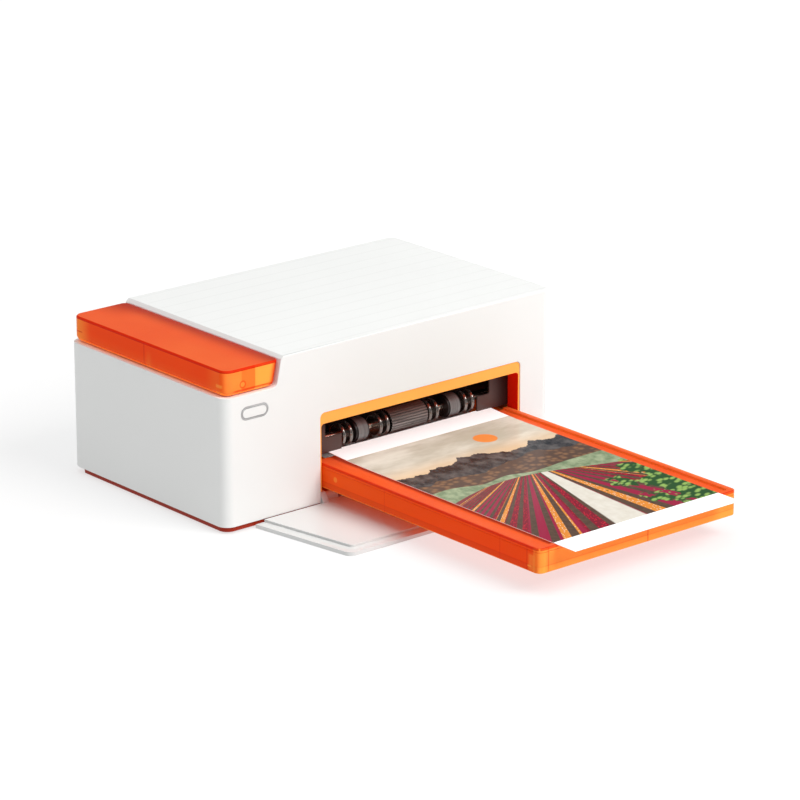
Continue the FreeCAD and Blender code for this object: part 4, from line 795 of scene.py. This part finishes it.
def ease_grooves(made):
    """Draws the bottoms of the roof grooves up, so that they stay as faint as they are."""
    sizes = user_sizes()
    lo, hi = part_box("outer_shell")
    pitch = groove_pitch()
    for v in made.verts:
        below = hi.z - v.co.z
        along = v.co.y - lo.y - sizes.groove_first
        off = abs(along - pitch * round(along / pitch))
        if 0 < below < sizes.groove_deep and off < sizes.groove_half:
            v.co.z = hi.z - below * sizes.groove_share


def reach_panel(made):
    """Draws the rear end of the cassette's lid back to the feed panel."""
    sizes = user_sizes()
    end = high("cassette_lid").y
    for v in made.verts:
        if v.co.y > end - sizes.small_edge:
            v.co.y = low("feed_panel").y - sizes.panel_gap


def recess_base(made):
    """Takes the rim of the base up into the shell along its rear edge."""
    sizes = user_sizes()
    start = high("base_plate").y - sizes.base_recess
    rim = low("outer_shell").z
    for y in (start, start + sizes.small_edge):
        bmesh.ops.bisect_plane(made, geom=made.verts[:] + made.edges[:] + made.faces[:],
                               plane_co=(0.0, y, 0.0), plane_no=(0.0, 1.0, 0.0))
    for v in made.verts:
        if v.co.y > start + sizes.small_edge / 2 and v.co.z < rim:
            v.co.z = rim - sizes.small_edge / 10


def dress(node, finish, width=0.0, segments=2, edge_finish=None, change=None, crisp_above=math.inf):
    """A finished copy of a CAD node with rounded edges, which stands for it."""
    made = weld(frame["nodes"][node].data)
    if change:
        change(made)
    for face in made.faces:
        face.material_index = 0
    if width > 0:
        round_edges(made, width, segments, 1 if edge_finish else -1, crisp_above)
    finishes = [finish, edge_finish] if edge_finish else [finish]
    return add_piece(node + "_finished", plain_mesh(made, node), finishes, node)


def dress_all(nodes, finish, width=0.0, segments=1):
    """Several CAD nodes in one finish."""
    for node in nodes:
        dress(node, finish, width, segments)


class Tree:
    """A geometry node tree with named inputs."""

    def __init__(self, name, inputs):
        self.tree = bpy.data.node_groups.new(name, "GeometryNodeTree")
        face = self.tree.interface
        face.new_socket("Geometry", in_out="INPUT", socket_type="NodeSocketGeometry")
        for label, value in inputs.items():
            kind = "NodeSocketInt" if isinstance(value, int) else "NodeSocketFloat"
            face.new_socket(label, in_out="INPUT", socket_type=kind).default_value = value
        face.new_socket("Geometry", in_out="OUTPUT", socket_type="NodeSocketGeometry")
        self.given = self.tree.nodes.new("NodeGroupInput").outputs
        self.exit = self.tree.nodes.new("NodeGroupOutput")

    def add(self, kind, settings, values):
        """The first output of a node with its settings and its sockets' values or links."""
        return new_node(self.tree, kind, settings, values).outputs[0]

    def maths(self, operation, first, second):
        """A Math node."""
        return self.add("ShaderNodeMath", {"operation": operation}, {0: first, 1: second})

    def share(self, label, factor):
        """One of the tree's inputs times a factor."""
        return self.maths("MULTIPLY", self.given[label], factor)

    def vector(self, x, y, z):
        """Three numbers as a vector."""
        return self.add("ShaderNodeCombineXYZ", {}, {0: x, 1: y, 2: z})

    def cylinder(self, sides, radius, depth):
        """An upright cylinder round the origin."""
        return self.add("GeometryNodeMeshCylinder", {}, {"Vertices": sides, "Radius": radius, "Depth": depth})

    def circle(self, points, radius):
        """A flat circle round the origin."""
        return self.add("GeometryNodeCurvePrimitiveCircle", {"mode": "RADIUS"},
                        {"Resolution": points, "Radius": radius})

    def cube(self, x, y, z):
        """A block round the origin."""
        return self.add("GeometryNodeMeshCube", {}, {"Size": self.vector(x, y, z)})

    def join(self, *parts):
        """Several geometries as one."""
        made = self.tree.nodes.new("GeometryNodeJoinGeometry")
        for part in parts:
            self.tree.links.new(part, made.inputs[0])
        return made.outputs[0]

    def raised(self, geometry, height):
        """Geometry moved up."""
        place = self.vector(0.0, 0.0, height)
        return self.add("GeometryNodeTransform", {}, {0: geometry, "Translation": place})

    def along_x(self, geometry):
        """Geometry turned from upright to lie along X."""
        return self.add("GeometryNodeTransform", {}, {0: geometry, "Rotation": QUARTER_TURN})

    def copies(self, points, item):
        """A copy of an item at each point."""
        return self.add("GeometryNodeInstanceOnPoints", {}, {"Points": points, "Instance": item})

    def close(self, geometry, finish):
        """Ends the tree with real geometry in one material."""
        real = self.add("GeometryNodeRealizeInstances", {}, {0: geometry})
        done = self.add("GeometryNodeSetMaterial", {}, {0: real, "Material": finish.material})
        self.tree.links.new(done, self.exit.inputs[0])
        return self.tree


def grow(name, tree, values, points=()):
    """The plain mesh that a tree makes from its inputs and a list of points."""
    seed = bpy.data.meshes.new(name + "_points")
    seed.from_pydata(points, [], [])
    holder = add_object(name + "_holder", seed)
    modifier = holder.modifiers.new("shape", "NODES")
    modifier.node_group = tree
    for item in tree.interface.items_tree:
        if item.item_type == "SOCKET" and item.in_out == "INPUT" and item.name in values:
            modifier[item.identifier] = values[item.name]
    holder.update_tag()
    mesh = applied_mesh(holder, name + "_mesh")
    bpy.data.objects.remove(holder)
    return mesh


def fluted_tree(finish):
    """Roller core with rounded ridges all round, along X."""
    t = Tree("fluted_roller", {"Ridges": 24, "Radius": 6.5 * MM, "Length": 22 * MM, "Ridge": 0.9 * MM})
    core_r = t.maths("SUBTRACT", t.given["Radius"], t.given["Ridge"])
    ridge_r = t.share("Ridge", 0.62)
    seat_r = t.maths("SUBTRACT", t.given["Radius"], ridge_r)
    core = t.cylinder(64, core_r, t.given["Length"])
    bar = t.cylinder(10, ridge_r, t.given["Length"])
    bars = t.copies(t.circle(t.given["Ridges"], seat_r), bar)
    return t.close(t.along_x(t.join(core, bars)), finish)


def ring_tree(finish):
    """A pair of thin rings on one hub at each point, all round the X axis."""
    t = Tree("guide_ring_pairs", {"Radius": 6.5 * MM, "Width": 1.1 * MM, "Gap": 4.3 * MM, "Hub": 3.2 * MM})
    half = t.share("Width", 0.5)
    reach = t.maths("SUBTRACT", t.given["Radius"], half)
    bead = t.add("GeometryNodeCurveToMesh", {},
                 {"Curve": t.circle(72, reach), "Profile Curve": t.circle(12, half)})
    ring = t.join(bead, t.cylinder(72, reach, t.share("Width", 0.8)))
    first = t.raised(ring, t.share("Gap", 0.5))
    second = t.raised(ring, t.share("Gap", -0.5))
    hub = t.cylinder(40, t.given["Hub"], t.given["Gap"])
    pair = t.along_x(t.join(first, second, hub))
    return t.close(t.copies(t.given["Geometry"], pair), finish)


def screw_tree(finish):
    """A pan head screw with a cross recess at each point; the head's outer face is at the point."""
    t = Tree("cross_screws", {"Head": 2.6 * MM, "Thick": 1.2 * MM, "Shank": 1.2 * MM, "Length": 10 * MM})
    thick = t.given["Thick"]
    head = t.cylinder(32, t.given["Head"], thick)
    wide, slim = t.share("Head", 1.15), t.share("Head", 0.26)
    arms = t.join(t.cube(wide, slim, thick), t.cube(slim, wide, thick))
    cross = t.raised(arms, t.share("Thick", -0.5))
    cut = t.add("GeometryNodeMeshBoolean", {"operation": "DIFFERENCE"}, {"Mesh 1": head, "Mesh 2": cross})
    shank = t.cylinder(24, t.given["Shank"], t.given["Length"])
    stem = t.raised(shank, t.share("Length", 0.5))
    cap = t.raised(cut, t.share("Thick", 0.5))
    return t.close(t.copies(t.given["Geometry"], t.join(stem, cap)), finish)


def screw_places(node, head_r, z):
    """The four screws' middles, at a height."""
    lo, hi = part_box(node)
    return [(x, y, z) for x in (lo.x + head_r, hi.x - head_r) for y in (lo.y + head_r, hi.y - head_r)]


def print_sheet(lo, hi, columns=12, rows=60):
    """The print's sheet, whose rear end rises."""
    sizes = user_sizes()
    made = bmesh.new()
    start = hi.y - 2 * sizes.tab_length
    grid = []
    for j in range(rows + 1):
        y = lo.y + (hi.y - lo.y) * j / rows
        free = max(0.0, y - start) / (hi.y - start)
        z = hi.z + sizes.print_rise * free * free
        grid.append([made.verts.new((lo.x + (hi.x - lo.x) * i / columns, y, z)) for i in range(columns + 1)])
    for near, far in zip(grid, grid[1:]):
        for i in range(columns):
            made.faces.new((near[i], near[i + 1], far[i + 1], far[i]))
    shell = bmesh.ops.extrude_face_region(made, geom=made.faces[:])
    for item in shell["geom"]:
        if isinstance(item, bmesh.types.BMVert):
            item.co.z -= hi.z - lo.z
    bmesh.ops.recalc_face_normals(made, faces=made.faces)
    return plain_mesh(made, "print")


def add_light(name, place, target, size, power, colour):
    """A square area light that points at a target."""
    data = bpy.data.lights.new(name, "AREA")
    data.shape = "SQUARE"
    data.size = size
    data.energy = power
    data.color = colour
    lamp = add_object(name, data)
    lamp.location = place
    lamp.rotation_euler = (Vector(target) - Vector(place)).to_track_quat("-Z", "Y").to_euler()


class PRINTER_OT_shell(bpy.types.Operator):
    """White outside: shell, rear panel, flap and button with its ring"""
    bl_idname = "printer.shell"
    bl_label = "White shell"

    def execute(self, context):
        sizes = user_sizes()
        small = sizes.small_edge
        white = shell_finish()
        dress("outer_shell", white, sizes.shell_edge, change=ease_grooves,
              crisp_above=high("outer_shell").z - sizes.groove_deep)
        dress("rear_panel", white, small)
        # Painted shade: the flap's white is the shell's white darkened to 0.83.
        dress("front_cover", smooth_white_finish("flap_white", 0.83), small)
        dress("power_button", smooth_white_finish("button_white", 1.0), small)
        dress("button_ring", dark_finish("ring_grey", (0.36, 0.365, 0.37), 0.4), small / 2)
        return {"FINISHED"}


class PRINTER_OT_orange(bpy.types.Operator):
    """Translucent orange pieces and the orange base"""
    bl_idname = "printer.orange"
    bl_label = "Orange pieces"

    def execute(self, context):
        sizes = user_sizes()
        small = sizes.small_edge
        tray = tray_finish()
        dress("ribbon_cover", cover_finish(), small)
        dress("cassette_base", tray, sizes.orange_edge)
        dress("cassette_lid", tray, sizes.orange_edge / 2, change=reach_panel)
        dress("opening_frame", frame_finish(), small, edge_finish=orange_edge_finish())
        dress("base_plate", base_finish(), small, change=recess_base)
        return {"FINISHED"}


class PRINTER_OT_rollers(bpy.types.Operator):
    """Feed rollers on their shaft, and the dark panel round them"""
    bl_idname = "printer.rollers"
    bl_label = "Feed rollers"

    def execute(self, context):
        sizes = user_sizes()
        small = sizes.small_edge
        knurl = tread_finish("fluted_brown", "pickup_roller", tone("fluted"), core=0.0, rough=0.28,
                             stretch=(60.0, 900.0, 900.0), metal=0.5)
        wheel = tread_finish("wheel_tread", "feed_wheels", tone("band"), core=sizes.tread_core, rough=0.5,
                             stretch=(1500.0, 50.0, 50.0))
        size = high("pickup_roller") - low("pickup_roller")
        mesh = grow("fluted_roller", fluted_tree(knurl),
                    {"Ridges": sizes.flutes, "Radius": size.z / 2, "Length": size.x})
        mesh.transform(Matrix.Translation(middle("pickup_roller")))
        add_piece("fluted_roller", mesh, [knurl], "pickup_roller")
        black = ring_finish()
        at = middle("guide_rings")
        half = high("guide_rings") - at
        outer = half.x - (sizes.ring_gap + sizes.ring_width) / 2
        places = [(at.x + side * off, at.y, at.z) for side in (-1, 1) for off in (sizes.ring_inner, outer)]
        mesh = grow("guide_ring_pairs", ring_tree(black),
                    {"Radius": half.z, "Gap": sizes.ring_gap, "Width": sizes.ring_width}, places)
        add_piece("guide_ring_pairs", mesh, [black], "guide_rings")
        dress("feed_wheels", wheel, small)
        dress("feed_shaft", metal_finish("shaft_steel", (0.62, 0.5, 0.42), 0.2), small)
        dress("feed_panel", panel_finish(), small)
        return {"FINISHED"}


class PRINTER_OT_print(bpy.types.Operator):
    """The finished print on the cassette, and the blank sheets in it"""
    bl_idname = "printer.print"
    bl_label = "Print and paper"

    def execute(self, context):
        lo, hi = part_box("photo_print")
        picture = picture_finish(lo, hi - lo, user_sizes().tab_length)
        add_piece("finished_print", print_sheet(lo, hi), [picture], "photo_print")
        dress("paper_stack", paper_finish())
        return {"FINISHED"}


class PRINTER_OT_drive(bpy.types.Operator):
    """Gears, motor, rollers and chassis inside"""
    bl_idname = "printer.drive"
    bl_label = "Drive and chassis"

    def execute(self, context):
        small = user_sizes().small_edge
        dress_all(("feed_gear", "idler_gear", "grip_gear", "motor_pinion"),
                  dark_finish("gear_acetal", (0.7, 0.67, 0.58), 0.4), small / 3)
        dress_all(("left_side_plate", "right_side_plate", "top_beam", "motor_bracket", "feed_motor",
                   "idler_post", "grip_roller", "pinch_roller", "platen_shaft", "cover_hinge_pins",
                   "front_hinge_pins", "lift_plate", "lift_spring"),
                  metal_finish("plate_steel", (0.55, 0.55, 0.56), 0.32), small / 2)
        dress_all(("upper_guide", "lower_guide", "rear_guide"),
                  dark_finish("guide_black", (0.02, 0.019, 0.019), 0.42), small)
        dress("platen_roller", dark_finish("platen_rubber", (0.03, 0.03, 0.032), 0.6))
        dress("shaft_bushes", metal_finish("bush_bronze", (0.62, 0.42, 0.2), 0.3))
        return {"FINISHED"}


class PRINTER_OT_head(bpy.types.Operator):
    """Print head with its springs, and the ribbon cartridge"""
    bl_idname = "printer.head"
    bl_label = "Head and ribbon"

    def execute(self, context):
        small = user_sizes().small_edge
        steel = metal_finish("spring_steel", (0.5, 0.5, 0.52), 0.28)
        dress("heat_sink", metal_finish("head_aluminium", (0.7, 0.7, 0.71), 0.35), small, 1)
        dress("head_element", dark_finish("head_ceramic", (0.78, 0.76, 0.7), 0.3), small / 2, 1)
        dress_all(("head_arms", "head_pivot"), steel, small)
        press_springs(dress("head_springs", steel))
        dress("ribbon_case", dark_finish("cartridge_black", (0.035, 0.035, 0.037), 0.38), small, 1)
        for node in ("supply_spool", "takeup_spool"):
            dress(node, dark_finish(node + "_grey", (0.3, 0.3, 0.31), 0.4), small, 1)
        dress("ribbon_film", film_finish())
        return {"FINISHED"}


class PRINTER_OT_boards(bpy.types.Operator):
    """Circuit boards, sockets and fan"""
    bl_idname = "printer.boards"
    bl_label = "Boards and fan"

    def execute(self, context):
        small = user_sizes().small_edge
        for node in ("main_board", "button_board"):
            dress(node, board_finish())
        dress("power_socket", dark_finish("socket_black", (0.02, 0.02, 0.021), 0.35), small, 1)
        dress("usb_port", metal_finish("socket_steel", (0.66, 0.66, 0.67), 0.25))
        dress("fan_frame", dark_finish("fan_black", (0.018, 0.018, 0.019), 0.45), small, 1)
        dress("fan_rotor", dark_finish("rotor_black", (0.028, 0.028, 0.03), 0.4), small, 1)
        return {"FINISHED"}


class PRINTER_OT_fasteners(bpy.types.Operator):
    """Screws and feet"""
    bl_idname = "printer.fasteners"
    bl_label = "Screws and feet"

    def execute(self, context):
        steel = metal_finish("screw_steel", (0.58, 0.58, 0.59), 0.28, (700.0, 700.0, 700.0))
        tree = screw_tree(steel)
        lo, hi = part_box("shell_screws")
        head_r = 2.6 * MM
        mesh = grow("shell_screws", tree, {"Head": head_r, "Length": hi.z - lo.z},
                    screw_places("shell_screws", head_r, lo.z))
        add_piece("shell_cross_screws", mesh, [steel], "shell_screws")
        lo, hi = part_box("chassis_screws")
        head_r = 2.2 * MM
        values = {"Head": head_r, "Thick": 1.4 * MM, "Shank": 1.1 * MM, "Length": hi.z - lo.z}
        mesh = grow("chassis_screws", tree, values, screw_places("chassis_screws", head_r, -hi.z))
        mesh.transform(Matrix.Scale(-1.0, 4, (0.0, 0.0, 1.0)))
        mesh.flip_normals()
        add_piece("chassis_cross_screws", mesh, [steel], "chassis_screws")
        dress("rubber_feet", dark_finish("foot_rubber", (0.04, 0.04, 0.042), 0.7),
              user_sizes().small_edge)
        return {"FINISHED"}


class PRINTER_OT_stage(bpy.types.Operator):
    """Pale floor, soft studio light and the camera"""
    bl_idname = "printer.stage"
    bl_label = "Stage"

    def execute(self, context):
        scene = context.scene
        stage = scene.printer_stage
        reach = 6.0
        mesh = bpy.data.meshes.new("floor_mesh")
        mesh.from_pydata([(-reach, -reach, 0), (reach, -reach, 0), (reach, reach, 0), (-reach, reach, 0)],
                         [], [(0, 1, 2, 3)])
        pale = Finish("pale_floor", (0.3, 0.3, 0.3), 0.9, Specular_IOR_Level=0.1, Emission_Strength=1.0)
        x, y, z = pale.axes()
        near, far = 0.2, 0.6
        away = distance(x, y).step(near, far)
        pale.glow(pale.mix(away, (stage.floor_near,) * 3, (stage.floor_far,) * 3))
        mesh.materials.append(pale.material)
        add_object("floor", mesh)
        world = bpy.data.worlds.new("studio")
        world.use_nodes = True
        background = world.node_tree.nodes["Background"]
        background.inputs["Color"].default_value = (1.0, 1.0, 1.0, 1.0)
        background.inputs["Strength"].default_value = stage.world
        scene.world = world
        add_light("key", place=(0.5, -1.3, 1.5), target=(0.0, 0.0, 0.04), size=1.1, power=stage.key,
                  colour=(1.0, 0.98, 0.96))
        add_light("top", place=(-0.2, 0.1, 1.9), target=(0.0, 0.0, 0.0), size=1.6, power=stage.top,
                  colour=(0.97, 0.99, 1.0))
        data = bpy.data.cameras.new("camera")
        data.lens = stage.lens
        data.sensor_width = stage.sensor
        data.clip_end = 30.0
        camera = add_object("camera", data)
        camera.location = stage.place
        camera.rotation_euler = (math.radians(90) - stage.elevation, 0.0, stage.azimuth)
        scene.camera = camera
        scene.view_settings.view_transform = "Standard"
        return {"FINISHED"}


class PRINTER_PT_finish(bpy.types.Panel):
    """Lists the steps in the sidebar"""
    bl_idname = "PRINTER_PT_finish"
    bl_label = "Photo Printer"
    bl_space_type = "VIEW_3D"
    bl_region_type = "UI"
    bl_category = "Printer"

    def draw(self, context):
        for step in STEPS:
            self.layout.operator(step.bl_idname)


GROUPS = {"printer_sizes": PrinterSizes, "printer_colours": PrinterColours, "printer_stage": PrinterStage}
STEPS = (PRINTER_OT_stage, PRINTER_OT_shell, PRINTER_OT_orange, PRINTER_OT_rollers, PRINTER_OT_print,
         PRINTER_OT_drive, PRINTER_OT_head, PRINTER_OT_boards, PRINTER_OT_fasteners)
CLASSES = (*GROUPS.values(), *STEPS, PRINTER_PT_finish)


def register():
    """Registers the classes and the groups of values."""
    for item in CLASSES:
        bpy.utils.register_class(item)
    for name, group in GROUPS.items():
        setattr(bpy.types.Scene, name, bpy.props.PointerProperty(type=group))


def unregister():
    """Takes the groups of values and the classes away again."""
    for name in GROUPS:
        delattr(bpy.types.Scene, name)
    for item in reversed(CLASSES):
        bpy.utils.unregister_class(item)


def main():
    """Runs the steps in order."""
    register()
    for step in STEPS:
        group, name = step.bl_idname.split(".")
        getattr(getattr(bpy.ops, group), name)()


if __name__ == "__main__":
    main()
